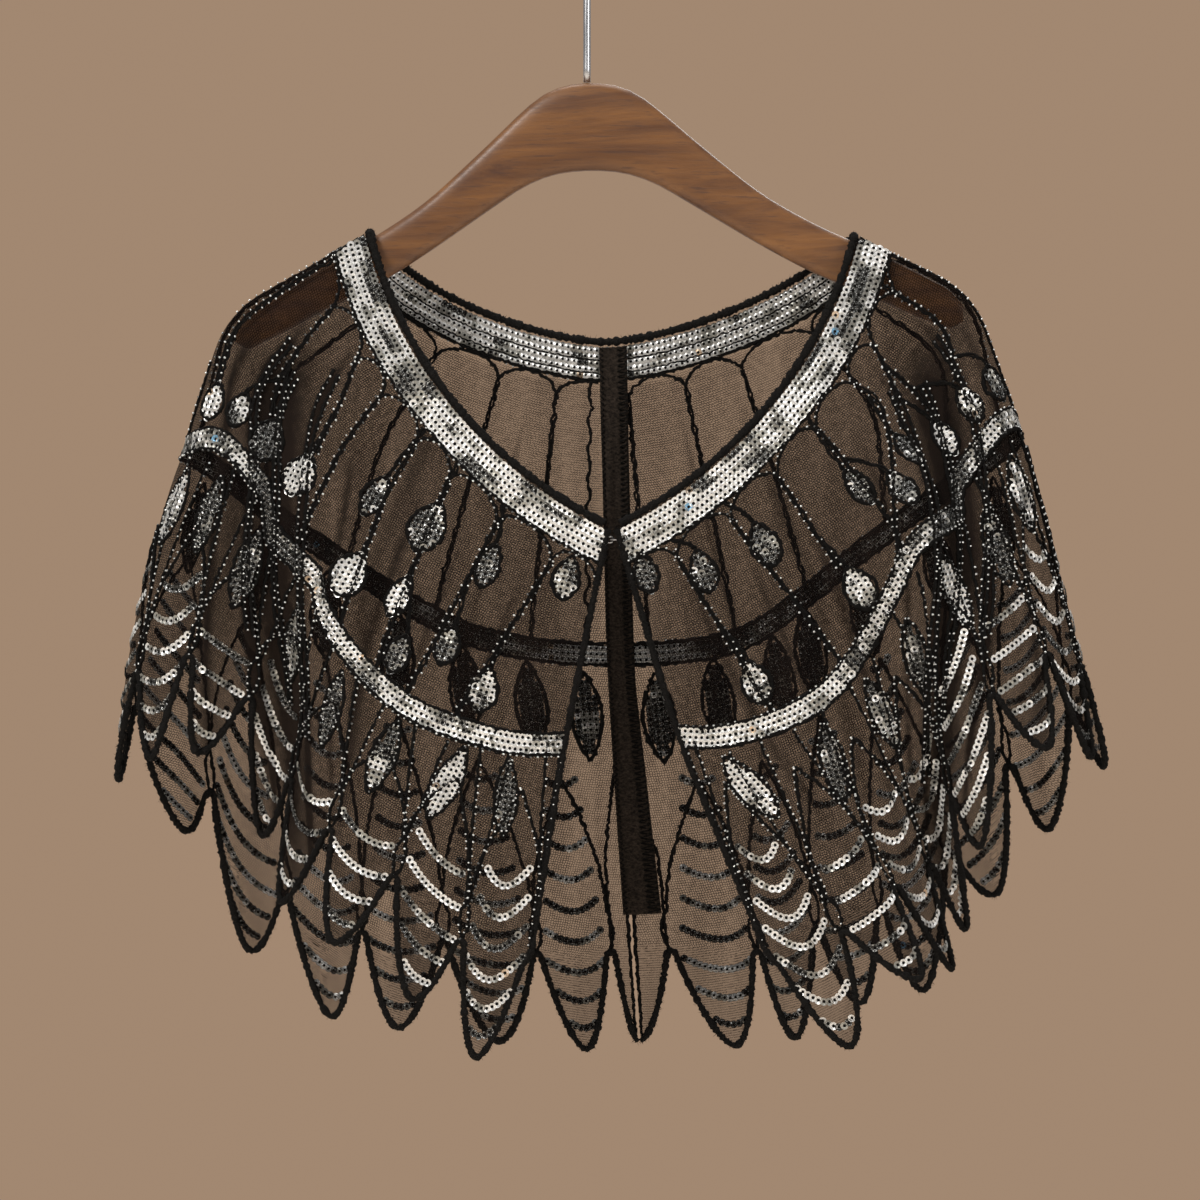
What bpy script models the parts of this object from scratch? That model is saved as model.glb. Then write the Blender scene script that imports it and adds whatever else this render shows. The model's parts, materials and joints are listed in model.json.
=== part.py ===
"""A sequin capelet hanging on a contoured wooden hanger.

The capelet is a ring of sheer net, open at the centre front and seamed at the centre back. Its neck edge lies over the
two arms of the hanger, and everything below it hangs. A place on the cloth is told by two values:

    ring   units round one half, from 0 at the front edge to CENTRE_BACK at the back seam; one unit is one hem point
    along  millimetres down the cloth from the neck edge

Tables give, for each hem point, where the yoke band and the tip hang: millimetres across from the centre front (towards
that half's own side), out (towards the back is positive) and down from the crown of the hanger.
"""
import math
from collections import namedtuple

import bmesh
import bpy
import numpy as np

# ------------------------------------------------------------------ driving sizes, in millimetres
MM = 0.001
CROWN_BELOW_HOOK = 90.0       # top of the wood under the inside top of the hook
CAPE_SHIFT = 13.75            # centre front of the cape, to the right of the hook

WALL = 1.2                    # thickness of the net's wall
SEAM_GAP = 0.3                # clear space between two pieces
NECK_RADIUS_FRONT = 256.0     # the front neck edge is an arc of this radius
NECK_CENTRE_FRONT = (111.5, 14.1)   # its centre: across towards the other side, and down
NECK_START = 26.3             # degrees from straight down, at the front edge
NECK_SWEEP = 46.5             # degrees of arc from the front edge to the shoulder
NECK_BACK_DOWN = 141.5        # the back neck's lowest point
NECK_BACK_RISE = 38.0         # and its rise at NECK_BACK_HALF across
NECK_BACK_HALF = 115.0
NECK_BACK_SHAPE = 1.6         # 1 would be a plain V, 2 a round curve
NECK_BACK_MIDDLE = -4.0       # its middle, across to the right of the centre front
NECK_OUT_FRONT = 45.0         # how far the neck point hangs in front of the hanger
NECK_OUT_BACK = 40.0

SHOULDER = 8.0                # ring value on top of the hanger's arm
SADDLE_HALF = 0.25            # half width of the cloth that lies flat on the arm, in ring units
SADDLE_OUT = 7.6              # and in millimetres
SADDLE_SPREAD = 5.0           # past it, the cloth leaves the arm's middle by this much in one ring unit
SADDLE_FALL = 30.0            # and drops by this much
CENTRE_BACK = 14.35           # ring value at the back seam
KNEE_PAST_ARM = 5.0           # the cloth turns down this far past the arm's end
KNEE_LEVEL_AT = 8.0           # at the height of the wood this far before its end
KNEE_ABOVE = 3.5              # and a little lower
KNEE_SOFT = 22.0              # half length of the soft bend where the cloth leaves the arm
BAND_SOFT = 26.0              # and of the bend at the yoke band

BINDING_RADIUS = 2.3          # fuzzy cord round the neck
CORD_RADIUS = 1.6             # fuzzy cord round the hem
CORD_SEAT = 2.6               # from the cord's middle to the edge of the net
CORD_TURN = 2.5               # radius at which the cord turns round a notch
NECK_BAND = (3.0, 20.5)       # along: upper and lower edge of the sequinned neck band
YOKE_BAND_HALF = 5.5          # half width of the yoke band
TRIM_THICK = 1.0              # sequinned bands
NOTCH_DEPTH = 54.0            # from a hem point's tip up to the notch beside it
POINT_SHAPE = 1.8             # 1 is a straight sided point, 2 a round one
POINT_SHARES = (-1.0, -0.7, -0.32, 0.0, 0.32, 0.7, 1.0)      # places across one hem point that the cord passes
LAST_SHARES = (-1.0, -0.5, -0.15)                            # and on the half of the one at the centre back
LEFT_BOW, RIGHT_BOW = 9.0, 1.0      # how far the cloth under the arm's end bellies outwards below the yoke band
SEAM_TOP, SEAM_FOOT = 15.0, 22.0    # width of the seam strip at the neck and at its foot
SEAM_LEFT, SEAM_RIGHT = (0.2,), (0.0, 0.4, 0.8)      # shares of that width to the left and the right of the seam
SEAM_THICK = 1.0
CLASP_WIRE = 0.4              # radius

HANGER_THICK = 13.0
HANGER_SWEEP = 10.0           # the arms' ends come this far forward
HANGER_TILT = 1.65            # degrees, right end up
ARM_LEFT, ARM_RIGHT = 193.0, 206.5
HANGER_SIDES = 14             # corners of the wood's section
HANGER_SQUARE = 0.6           # 1 is an oval section, less is squarer
SLIM_AWAY = (0.0, 180.0, 193.0, 206.5)      # the wood thins towards the arms' ends: at these distances
SLIM_SHARE = (1.0, 1.0, 0.85, 0.45)         # it has these shares of its thickness
WIRE_RADIUS = 2.0
HOOK_RADIUS = 20.0
HOOK_SHANK = 46.0             # straight wire above the wood

# Half of the hanger seen from the front: for a distance from the middle on a 200 mm arm, the top and bottom edges' drop.
Station = namedtuple("Station", "away top bottom")
HANGER_PROFILE = (
    Station(0, 0.0, 48.4),
    Station(14, 1.6, 49.3),
    Station(26, 6.5, 52.2),
    Station(38, 15.8, 57.5),
    Station(52, 28.5, 66.2),
    Station(70, 44.5, 77.8),
    Station(91, 62.2, 91.2),
    Station(118, 79.5, 106.8),
    Station(150, 95.8, 121.6),
    Station(182, 113.2, 136.8),
    Station(194, 121.0, 141.0),
    Station(200, 128.5, 137.5),
)

# One row for the front edge, each hem point, the shoulder line and the centre back. hold says how far the hanger's arm
# carries the cloth outwards before it falls: 0 not at all, 1 over the arm's end.
Row = namedtuple("Row", "ring hold band_across band_out band_down tip_across tip_out tip_down")
CENTRE_BACK_ROW = (0.0, 63.0, 315.0, 15.0, 80.0, 532.0)   # band and tip, across to the right of the centre front
LEFT_ROWS = (
    Row(0.0, 0.0, 26, -48, 362, 52, -52, 526),
    Row(0.5, 0.0, 45, -53, 362, 74, -60, 535),
    Row(1.5, 0.0, 79, -60, 355, 110, -76, 502),
    Row(2.5, 0.0, 114, -68, 340, 152, -90, 471),
    Row(3.5, 0.0, 144, -70, 312, 181, -52, 450),
    Row(4.5, 0.0, 167, -58, 276, 193, -14, 414),
    Row(5.5, 0.3, 189, -56, 236, 227, -50, 369),
    Row(6.5, 0.75, 211, -44, 205, 251, -60, 372),
    Row(7.5, 1.0, 232, -22, 199, 271, -14, 384),
    Row(8.0, 1.0, 234, -2, 200, 262, 12, 396),
    Row(8.5, 0.95, 222, 18, 209, 238, 30, 412),
    Row(9.5, 0.6, 193, 42, 232, 203, 62, 479),
    Row(10.5, 0.2, 158, 52, 258, 157, 84, 518),
    Row(11.5, 0.0, 119, 56, 284, 119, 68, 524),
    Row(12.5, 0.0, 79, 60, 304, 63, 86, 532),
    Row(13.5, 0.0, 35, 62, 313, 14, 72, 536),
)
RIGHT_ROWS = (
    Row(0.0, 0.0, 36, -46, 359, 103, -50, 523),
    Row(0.5, 0.0, 51, -50, 360, 130, -58, 529),
    Row(1.5, 0.0, 86, -57, 353, 168, -82, 491),
    Row(2.5, 0.0, 120, -65, 334, 186, -46, 487),
    Row(3.5, 0.0, 147, -64, 300, 195, -14, 466),
    Row(4.5, 0.0, 173, -72, 252, 202, -64, 418),
    Row(5.5, 0.3, 194, -46, 224, 238, -62, 366),
    Row(6.5, 0.75, 213, -38, 196, 262, -36, 372),
    Row(7.5, 1.0, 224, -18, 190, 271, -8, 377),
    Row(8.0, 1.0, 223, 0, 194, 262, 16, 392),
    Row(8.5, 0.95, 208, 22, 206, 243, 40, 412),
    Row(9.5, 0.6, 174, 42, 230, 215, 60, 448),
    Row(10.5, 0.2, 140, 52, 256, 175, 84, 503),
    Row(11.5, 0.0, 106, 56, 284, 139, 66, 510),
    Row(12.5, 0.0, 75, 60, 305, 103, 86, 530),
    Row(13.5, 0.0, 38, 62, 313, 69, 74, 534),
)


# ------------------------------------------------------------------ the shape of the cloth
def smooth_columns(ring, rows):
    """Every column of the rows, as smooth curves through the rows, at the given ring values."""
    knots = rows[:, 0]
    values = rows[:, 1:]
    slopes = np.gradient(values, knots, axis=0)
    cell = np.clip(np.searchsorted(knots, ring, side="right") - 1, 0, len(knots) - 2)
    width = (knots[cell + 1] - knots[cell])[:, None]
    t = ((ring - knots[cell]) / (knots[cell + 1] - knots[cell]))[:, None]
    start = (1 + 2 * t) * (1 - t) ** 2 * values[cell] + t * (1 - t) ** 2 * width * slopes[cell]
    end = t * t * (3 - 2 * t) * values[cell + 1] - t * t * (1 - t) * width * slopes[cell + 1]
    return start + end


def saddle(ring):
    """Where the cloth lies across the arm at a ring value: out from the arm's middle, and down its sides."""
    away = np.abs(ring - SHOULDER)
    past = np.maximum(away - SADDLE_HALF, 0.0)
    out = np.minimum(away, SADDLE_HALF) / SADDLE_HALF * SADDLE_OUT + SADDLE_SPREAD * past
    return np.sign(ring - SHOULDER) * out, SADDLE_FALL * past


class Half:
    """One half of the capelet. side is -1 for the left of the picture and 1 for the right."""

    def __init__(self, side, rows, arm, bow):
        self.side = side
        self.arm = arm
        self.bow = bow
        across, out, down, tip_across, tip_out, tip_down = CENTRE_BACK_ROW
        back = Row(CENTRE_BACK, 0.0, side * across, out, down, side * tip_across, tip_out, tip_down)
        self.rows = np.array(rows + (back,), dtype=float)

    def neck(self, ring):
        """The neck edge, as across (to the right), out and down."""
        front_turn = np.radians(NECK_START + NECK_SWEEP * np.minimum(ring / (SHOULDER - SADDLE_HALF), 1.0))
        front_across = NECK_RADIUS_FRONT * np.sin(front_turn) - NECK_CENTRE_FRONT[0]
        front_down = NECK_RADIUS_FRONT * np.cos(front_turn) + NECK_CENTRE_FRONT[1]
        share = np.clip((ring - SHOULDER - SADDLE_HALF) / (CENTRE_BACK - SHOULDER - SADDLE_HALF), 0.0, 1.0)
        corner_across = NECK_RADIUS_FRONT * math.sin(math.radians(NECK_START + NECK_SWEEP)) - NECK_CENTRE_FRONT[0]
        corner_down = NECK_RADIUS_FRONT * math.cos(math.radians(NECK_START + NECK_SWEEP)) + NECK_CENTRE_FRONT[1]
        on_arm_away = np.array([self.side * corner_across - ARM_MIDDLE])
        arm_out = hanger_out(on_arm_away)[0]
        seat = hanger_edge(on_arm_away, "top")[0] - BINDING_RADIUS - 3 * SEAM_GAP
        middle = self.side * NECK_BACK_MIDDLE
        back_across = middle + (corner_across - middle) * (1.0 - share)
        back_down = NECK_BACK_DOWN - NECK_BACK_RISE * (np.abs(back_across - middle) / NECK_BACK_HALF) ** NECK_BACK_SHAPE
        corner_rise = ((corner_across - middle) / NECK_BACK_HALF) ** NECK_BACK_SHAPE * NECK_BACK_RISE
        back_down -= (NECK_BACK_DOWN - corner_rise - seat) * (1.0 - share) ** 6
        saddle_out, _ = saddle(ring)
        saddle_out = saddle_out + arm_out
        front_share = np.clip(ring / (SHOULDER - SADDLE_HALF), 0.0, 1.0)
        front_down += (seat - corner_down) * front_share ** 6
        front_out = arm_out - SADDLE_OUT - (NECK_OUT_FRONT - SADDLE_OUT + arm_out) * (1.0 - front_share ** 3)
        back_out = arm_out + SADDLE_OUT + (NECK_OUT_BACK - SADDLE_OUT - arm_out) * (1.0 - (1.0 - share) ** 3)
        on_arm = np.abs(ring - SHOULDER) <= SADDLE_HALF
        blend = np.clip((ring - SHOULDER) / (2 * SADDLE_HALF) + 0.5, 0.0, 1.0)
        across = front_across * (1 - blend) + back_across * blend
        down = front_down * (1 - blend) + back_down * blend
        out = np.where(on_arm, saddle_out, np.where(ring < SHOULDER, front_out, back_out))
        return np.stack([self.side * across, out, down], axis=1)

    def knots(self, ring):
        """Neck, knee, band and tip of the line down the cloth at each ring value."""
        columns = smooth_columns(ring, self.rows)
        hold = np.clip(columns[:, 0:1], 0.0, 1.0)
        neck = self.neck(ring)
        band = columns[:, 1:4] * np.array([self.side, 1.0, 1.0])
        tip = columns[:, 4:7] * np.array([self.side, 1.0, 1.0])
        saddle_out, saddle_down = saddle(ring)
        end_across = self.side * (self.arm + KNEE_PAST_ARM) + ARM_MIDDLE
        end_down = hanger_edge(np.array([self.side * (self.arm - KNEE_LEVEL_AT)]), "top")[0] + KNEE_ABOVE
        knee = np.stack([np.full_like(ring, end_across), saddle_out - HANGER_SWEEP, end_down + saddle_down], axis=1)
        knee = hold * knee + (1.0 - hold) * (neck + band) / 2.0
        return neck, knee, band, tip

    def lengths(self, ring):
        """How far along the cloth the knee, the band and the tip are."""
        neck, knee, band, tip = self.knots(ring)
        first = np.linalg.norm(knee - neck, axis=1)
        second = first + np.linalg.norm(band - knee, axis=1)
        return first, second, second + np.linalg.norm(tip - band, axis=1)

    def point(self, ring, along):
        """Points on the cloth's middle surface, in metres in the part's own frame."""
        ring, along = np.broadcast_arrays(np.asarray(ring, dtype=float), np.asarray(along, dtype=float))
        shape = ring.shape
        ring, along = ring.ravel(), along.ravel()
        neck, knee, band, tip = self.knots(ring)
        first, second, third = self.lengths(ring)
        first_way, second_way, third_way = (unit(knee - neck), unit(band - knee), unit(tip - band))
        place = neck + first_way * np.minimum(along, first)[:, None]
        place += second_way * np.clip(along - first, 0.0, second - first)[:, None]
        place += third_way * np.maximum(along - second, 0.0)[:, None]
        for corner, soft, before, after in ((first, KNEE_SOFT, first_way, second_way),
                                            (second, BAND_SOFT, second_way, third_way)):
            near = np.maximum(soft - np.abs(along - corner), 0.0)
            place += (after - before) * (near ** 2 / (4.0 * soft))[:, None]
        fall = np.clip((along - second) / np.maximum(third - second, 1.0), 0.0, 1.2)
        hold = np.clip(smooth_columns(ring, self.rows)[:, 0], 0.0, 1.0)
        place[:, 0] += self.side * self.bow * hold * 4.0 * fall * (1.0 - fall)
        return to_frame(place).reshape(shape + (3,))

    def normal(self, ring, along):
        """The way out of the cloth, away from the wearer."""
        step_ring, step_along = 0.02, 0.5
        round_way = self.point(ring + step_ring, along) - self.point(ring - step_ring, along)
        down_way = self.point(ring, along + step_along) - self.point(ring, along - step_along)
        return unit(np.cross(down_way, round_way) * self.side)

    def pace(self, ring, above=NOTCH_DEPTH / 2):
        """Millimetres of cloth in one ring unit, so far above the tips."""
        _, _, tip_along = self.lengths(ring)
        low, high = np.maximum(ring - 0.1, 0.0), np.minimum(ring + 0.1, CENTRE_BACK)
        step = self.point(high, tip_along - above) - self.point(low, tip_along - above)
        return np.linalg.norm(step, axis=1) / MM / (high - low)

    def square_step(self, ring, along):
        """The steps in ring and in along that move one millimetre on the cloth, square to its fall."""
        round_way = (self.point(ring + 0.05, along) - self.point(ring - 0.05, along)) / MM / 0.1
        down_way = (self.point(ring, along + 1.0) - self.point(ring, along - 1.0)) / MM / 2.0
        slant = np.sum(round_way * down_way, axis=-1) / np.sum(down_way * down_way, axis=-1)
        width = np.linalg.norm(round_way - slant[..., None] * down_way, axis=-1)
        return 1.0 / width, -slant / width

    def hem_line(self):
        """The middle line of the hem cord as ring and along, from the front edge to the centre back."""
        last = math.floor(CENTRE_BACK)
        notches = np.arange(last + 1.0)
        _, _, notch_tips = self.lengths(notches)
        ring_step, along_step = self.square_step(notches, notch_tips - NOTCH_DEPTH)
        depth = NOTCH_DEPTH - CORD_RADIUS - CORD_TURN
        ring, along = [], []
        for number in range(last + 1):
            shares = np.array(POINT_SHARES if number < last else LAST_SHARES)
            middle = number + 0.5 if number < last else CENTRE_BACK
            start = notches[number] + CORD_TURN * ring_step[number]
            end = number + 1.0 - CORD_TURN * ring_step[number + 1] if number < last else CENTRE_BACK
            places = np.where(shares < 0, middle + shares * (middle - start), middle + shares * (end - middle))
            _, _, tip = self.lengths(places)
            levels = tip - CORD_RADIUS - depth * np.abs(shares) ** POINT_SHAPE
            levels[0] = notch_tips[number] - NOTCH_DEPTH + CORD_TURN * (1.0 + along_step[number])
            if number == 0:
                places[0] = 0.0
            ring.append(places)
            along.append(levels)
            if number < last:
                levels[-1] = notch_tips[number + 1] - NOTCH_DEPTH + CORD_TURN * (1.0 - along_step[number + 1])
                turn = np.radians([-45.0, 0.0, 45.0])
                ring.append(number + 1.0 + CORD_TURN * np.sin(turn) * ring_step[number + 1])
                turned = 1.0 - np.cos(turn) + np.sin(turn) * along_step[number + 1]
                along.append(notch_tips[number + 1] - NOTCH_DEPTH + CORD_TURN * turned)
        return np.concatenate(ring), np.concatenate(along)

    def net_hem(self, columns):
        """How far along the net's edge lies at each column, everywhere CORD_SEAT or more from the cord's middle line."""
        ring, along = self.hem_line()
        share = np.linspace(0.0, 1.0, 17)
        ring = (ring[:-1, None] + (ring[1:] - ring[:-1])[:, None] * share).ravel()
        along = (along[:-1, None] + (along[1:] - along[:-1])[:, None] * share).ravel()
        cord = self.point(ring, along)
        fine = np.linspace(0.0, CENTRE_BACK - 0.03, 500)
        _, _, tips = self.lengths(fine)
        heights = np.arange(0.0, NOTCH_DEPTH + 25.0, 1.0)
        edge = []
        for place, tip in zip(fine, tips):
            tries = self.point(place, tip - heights)
            near = cord[np.abs(ring - place) < 0.4]
            away = np.linalg.norm(tries[:, None] - near[None], axis=2).min(axis=1)
            edge.append(tip - heights[np.nonzero(away < CORD_SEAT * MM)[0][-1]] - 1.0)
        edge = np.array(edge)
        level = np.interp(columns, fine, edge)
        for i in range(len(columns) - 1):
            inside = (fine > columns[i]) & (fine < columns[i + 1])
            chord = np.interp(fine[inside], columns[i:i + 2], level[i:i + 2])
            level[i:i + 2] -= max(0.0, np.max(chord - edge[inside], initial=0.0))
        return level


def unit(vectors):
    """Vectors of length one."""
    return vectors / np.maximum(np.linalg.norm(vectors, axis=-1, keepdims=True), 1e-12)


def to_frame(place):
    """Across, out and down in millimetres, as metres from the inside top of the hook."""
    across, out, down = place[..., 0], place[..., 1], place[..., 2]
    return np.stack([across + CAPE_SHIFT, out, -CROWN_BELOW_HOOK - down], axis=-1) * MM


# ------------------------------------------------------------------ the hanger's outline
ARM_MIDDLE = -CAPE_SHIFT      # the hanger's middle, across from the centre front of the cape


def hanger_edge(away, edge):
    """Drop of the top or bottom edge of the wood at signed distances from its middle."""
    length = np.where(away < 0, ARM_LEFT, ARM_RIGHT)
    profile = np.array([(s.away, getattr(s, edge)) for s in HANGER_PROFILE])
    table = np.column_stack([profile[:, 0], profile[:, 1]])
    drop = smooth_columns(np.clip(np.abs(away) / length * 200.0, 0.0, 200.0), table)[:, 0]
    return drop - away * math.tan(math.radians(HANGER_TILT))


def hanger_out(away):
    """How far forward the arm is at signed distances from the middle."""
    return -HANGER_SWEEP * (away / 200.0) ** 2


# ------------------------------------------------------------------ mesh helpers
def material(name, colour, roughness, metallic=0.0):
    """A Principled material, made once for each name."""
    found = bpy.data.materials.get(name)
    if found:
        return found
    made = bpy.data.materials.new(name)
    made.use_nodes = True
    shader = made.node_tree.nodes["Principled BSDF"]
    shader.inputs["Base Color"].default_value = (*colour, 1.0)
    shader.inputs["Roughness"].default_value = roughness
    shader.inputs["Metallic"].default_value = metallic
    made.diffuse_color = (*colour, 1.0)
    return made


def add_object(name, vertices, faces, finish):
    """A mesh object from points in metres, its faces turned outwards."""
    mesh = bpy.data.meshes.new(name)
    mesh.from_pydata([tuple(v) for v in vertices], [], faces)
    shell = bmesh.new()
    shell.from_mesh(mesh)
    bmesh.ops.recalc_face_normals(shell, faces=shell.faces)
    shell.to_mesh(mesh)
    shell.free()
    mesh.materials.append(finish)
    made = bpy.data.objects.new(name, mesh)
    bpy.context.scene.collection.objects.link(made)
    return made


def wall(name, inner, outer, finish):
    """A closed wall between two grids of points of the same size."""
    rows, columns = inner.shape[:2]
    count = rows * columns
    vertices = np.concatenate([inner.reshape(-1, 3), outer.reshape(-1, 3)])
    faces = []
    for i in range(rows - 1):
        for j in range(columns - 1):
            a, b = i * columns + j, (i + 1) * columns + j
            faces.append((a, a + 1, b + 1, b))
            faces.append((a + count, b + count, b + 1 + count, a + 1 + count))
    border = [(0, j) for j in range(columns)]
    border += [(i, columns - 1) for i in range(1, rows)]
    border += [(rows - 1, j) for j in range(columns - 2, -1, -1)]
    border += [(i, 0) for i in range(rows - 2, 0, -1)]
    for (i, j), (k, m) in zip(border, border[1:] + border[:1]):
        a, b = i * columns + j, k * columns + m
        faces.append((a, a + count, b + count, b))
    return add_object(name, vertices, faces, finish)


def tube(name, path, radius, sides, finish, across=None):
    """A round cord along points in metres, with flat ends. across, if given, is a direction to keep for each point."""
    path = np.asarray(path, dtype=float)
    ahead = unit(np.diff(path, axis=0))
    tangent = unit(np.concatenate([ahead[:1], ahead[:-1] + ahead[1:], ahead[-1:]]))
    bend = np.concatenate([[1.0], np.sqrt(np.clip((1 + np.sum(ahead[:-1] * ahead[1:], axis=1)) / 2, 0.2, 1)), [1.0]])
    if across is None:
        side = np.zeros_like(path)
        side[0] = unit(np.cross(tangent[0], (0.0, 1.0, 0.0) if abs(tangent[0][1]) < 0.9 else (1.0, 0.0, 0.0)))
        for i in range(1, len(path)):
            side[i] = unit(side[i - 1] - tangent[i] * np.dot(side[i - 1], tangent[i]))
    else:
        side = unit(across - tangent * np.sum(across * tangent, axis=1)[:, None])
    other = np.cross(tangent, side)
    turn = (np.arange(sides) + 0.5) * 2 * math.pi / sides
    ring = side[:, None] * np.cos(turn)[None, :, None]
    ring = ring + other[:, None] * np.sin(turn)[None, :, None] / bend[:, None, None]
    vertices = (path[:, None] + ring * radius).reshape(-1, 3)
    faces = [tuple(range(sides)), tuple(range(len(vertices) - sides, len(vertices)))]
    for i in range(len(path) - 1):
        for j in range(sides):
            a, b = i * sides + j, i * sides + (j + 1) % sides
            faces.append((a, b, b + sides, a + sides))
    return add_object(name, vertices, faces, finish)


# ------------------------------------------------------------------ the pieces of the capelet
POINT_STATIONS = (0.0, 0.15, 0.34, 0.5, 0.66, 0.85)      # columns across one hem point
YOKE_ROWS = ((0.34, -11.0), (0.67, 9.0))     # rows of the yoke: a share of its height, and millimetres past the knee
SKIRT_ROWS = (0.36, 0.7)                     # rows between the yoke band and the hem, as shares
LAST_STATIONS = (14.17, CENTRE_BACK)


def ring_stations():
    """Ring values of the wall's columns, from the front edge to the back seam."""
    whole = [number + part for number in range(math.floor(CENTRE_BACK)) for part in POINT_STATIONS]
    saddle_edges = [SHOULDER - SADDLE_HALF, SHOULDER + SADDLE_HALF]
    return np.array(sorted(set(whole + saddle_edges + [math.floor(CENTRE_BACK)] + list(LAST_STATIONS))))


def front_columns(half, columns, levels, gap):
    """Ring values of the grid, its first column drawn in from the front edge by a gap in millimetres."""
    grid = np.broadcast_to(columns[None, :], levels.shape).copy()
    step = 0.1
    first = np.zeros(levels.shape[0])
    pace = np.linalg.norm(half.point(first + step, levels[:, 0]) - half.point(first, levels[:, 0]), axis=1) / MM / step
    grid[:, 0] = gap / pace
    return grid


def body_levels(half, columns):
    """How far along each row of the wall lies, for each column: neck to hem."""
    knee, band, _ = half.lengths(columns)
    hold = np.clip(smooth_columns(columns, half.rows)[:, 0], 0.0, 1.0)
    hem = half.net_hem(columns)
    upper, lower = band - YOKE_BAND_HALF, band + YOKE_BAND_HALF
    start = np.full_like(columns, NECK_BAND[0])
    rows = [start, np.full_like(columns, NECK_BAND[1])]
    for share, past in YOKE_ROWS:
        even = NECK_BAND[1] + (upper - NECK_BAND[1]) * share
        rows.append(even + hold * (knee + past - even))
    rows += [upper, lower]
    for share in SKIRT_ROWS:
        rows.append(lower + (hem - lower) * share)
    rows.append(hem)
    return np.array(rows)


def make_body(half, name, finish):
    """The net of one half: a thin wall from neck to hem."""
    columns = ring_stations()
    columns[0] = CORD_SEAT / half.pace(np.array([0.1]))[0]
    levels = body_levels(half, columns)
    ring = front_columns(half, columns, levels, CORD_SEAT)
    ring[:, -1] -= SEAM_GAP / half.pace(np.array([CENTRE_BACK - 0.2]))[0]
    middle = half.point(ring, levels)
    out = half.normal(ring, levels) * WALL / 2 * MM
    wall(name, middle - out, middle + out, finish)
    return ring, levels


def make_band(half, name, ring, levels, rows, finish):
    """A sequinned band: the wall's own points between two rows, moved out."""
    ring, levels = ring[rows], levels[rows]
    middle = half.point(ring, levels)
    out = half.normal(ring, levels) * MM
    inner = middle + out * (WALL / 2 + SEAM_GAP)
    outer = middle + out * (WALL / 2 + SEAM_GAP + TRIM_THICK)
    wall(name, inner, outer, finish)


def make_binding(halves, finish):
    """The fuzzy cord round the neck, from one front edge over both shoulders to the other."""
    step = np.linspace(0.1, CENTRE_BACK, 34)
    step = np.sort(np.concatenate([step, [SHOULDER - SADDLE_HALF, SHOULDER, SHOULDER + SADDLE_HALF]]))
    left, right = halves
    one_way = left.point(step, np.zeros_like(step))
    other_way = right.point(step, np.zeros_like(step))
    path = np.concatenate([one_way[:-1], (one_way[-1:] + other_way[-1:]) / 2, other_way[:-1][::-1]])
    tube("neck_binding", path, BINDING_RADIUS * MM, 8, finish)


def make_edge_cord(half, name, finish):
    """The fuzzy cord down the front edge and round the hem points, to the centre back."""
    ring, along = half.hem_line()
    down_edge = np.linspace(BINDING_RADIUS + CORD_RADIUS + 2 * SEAM_GAP, along[0], 12)[:-1]
    ring = np.concatenate([np.zeros_like(down_edge), ring])
    along = np.concatenate([down_edge, along])
    across = half.normal(np.maximum(ring, 0.05), along)
    tube(name, half.point(ring, along), CORD_RADIUS * MM, 6, finish, across=across)


def make_seam(halves, finish):
    """The folded and overlocked seam allowance down the inside of the back, turned towards the right."""
    _, _, tip = halves[0].lengths(np.array([CENTRE_BACK]))
    along = np.linspace(NECK_BAND[0], tip[0] - 1.35 * NOTCH_DEPTH, 12)
    width = np.interp(along, [along[0], along[-1] * 0.6, along[-1]], [SEAM_TOP, SEAM_TOP, SEAM_FOOT])
    inner, inward = [], []
    for half, shares in zip(halves, (SEAM_LEFT, SEAM_RIGHT)):
        for share in shares:
            ring = np.full_like(along, CENTRE_BACK - 0.1)
            step = half.point(ring, along) - half.point(ring + 0.1, along)
            ring = CENTRE_BACK - share * width / (np.linalg.norm(step, axis=1) / MM / 0.1)
            inward.append(-half.normal(np.minimum(ring, CENTRE_BACK - 0.05), along))
            inner.append(half.point(ring, along) + inward[-1] * (WALL / 2 + 2 * SEAM_GAP) * MM)
    inner, inward = np.stack(inner, axis=1), np.stack(inward, axis=1)
    wall("back_seam", inner, inner + inward * SEAM_THICK * MM, finish)


def make_clasp(halves, finish):
    """A wire hook and eye behind the neck point, one sewn to each front edge."""
    centre = (halves[0].point(0.0, 8.0) + halves[1].point(0.0, 8.0)) / 2
    centre = centre + np.array([0.0, CORD_RADIUS + 3 * SEAM_GAP + 3 * CLASP_WIRE, 0.0]) * MM
    turn = np.radians(np.linspace(90, -90, 7))
    loop = [(-5.5, 0.0, 1.6)] + [(-1.1 + 1.6 * math.cos(t), 0.0, 1.6 * math.sin(t)) for t in turn] + [(-5.5, 0.0, -1.6)]
    tube("clasp_eye", centre + np.array(loop) * MM, CLASP_WIRE * MM, 6, finish)
    turn = np.radians(np.linspace(90, 270, 7))
    bend = [(0.2 + 1.3 * math.cos(t), 1.3 * math.sin(t), 0.0) for t in turn]
    hook = [(6.0, 1.3, 0.0), (3.0, 1.3, 0.0)] + bend + [(2.2, -1.3, 0.0)]
    tube("clasp_hook", centre + np.array(hook) * MM, CLASP_WIRE * MM, 6, finish)


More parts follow.
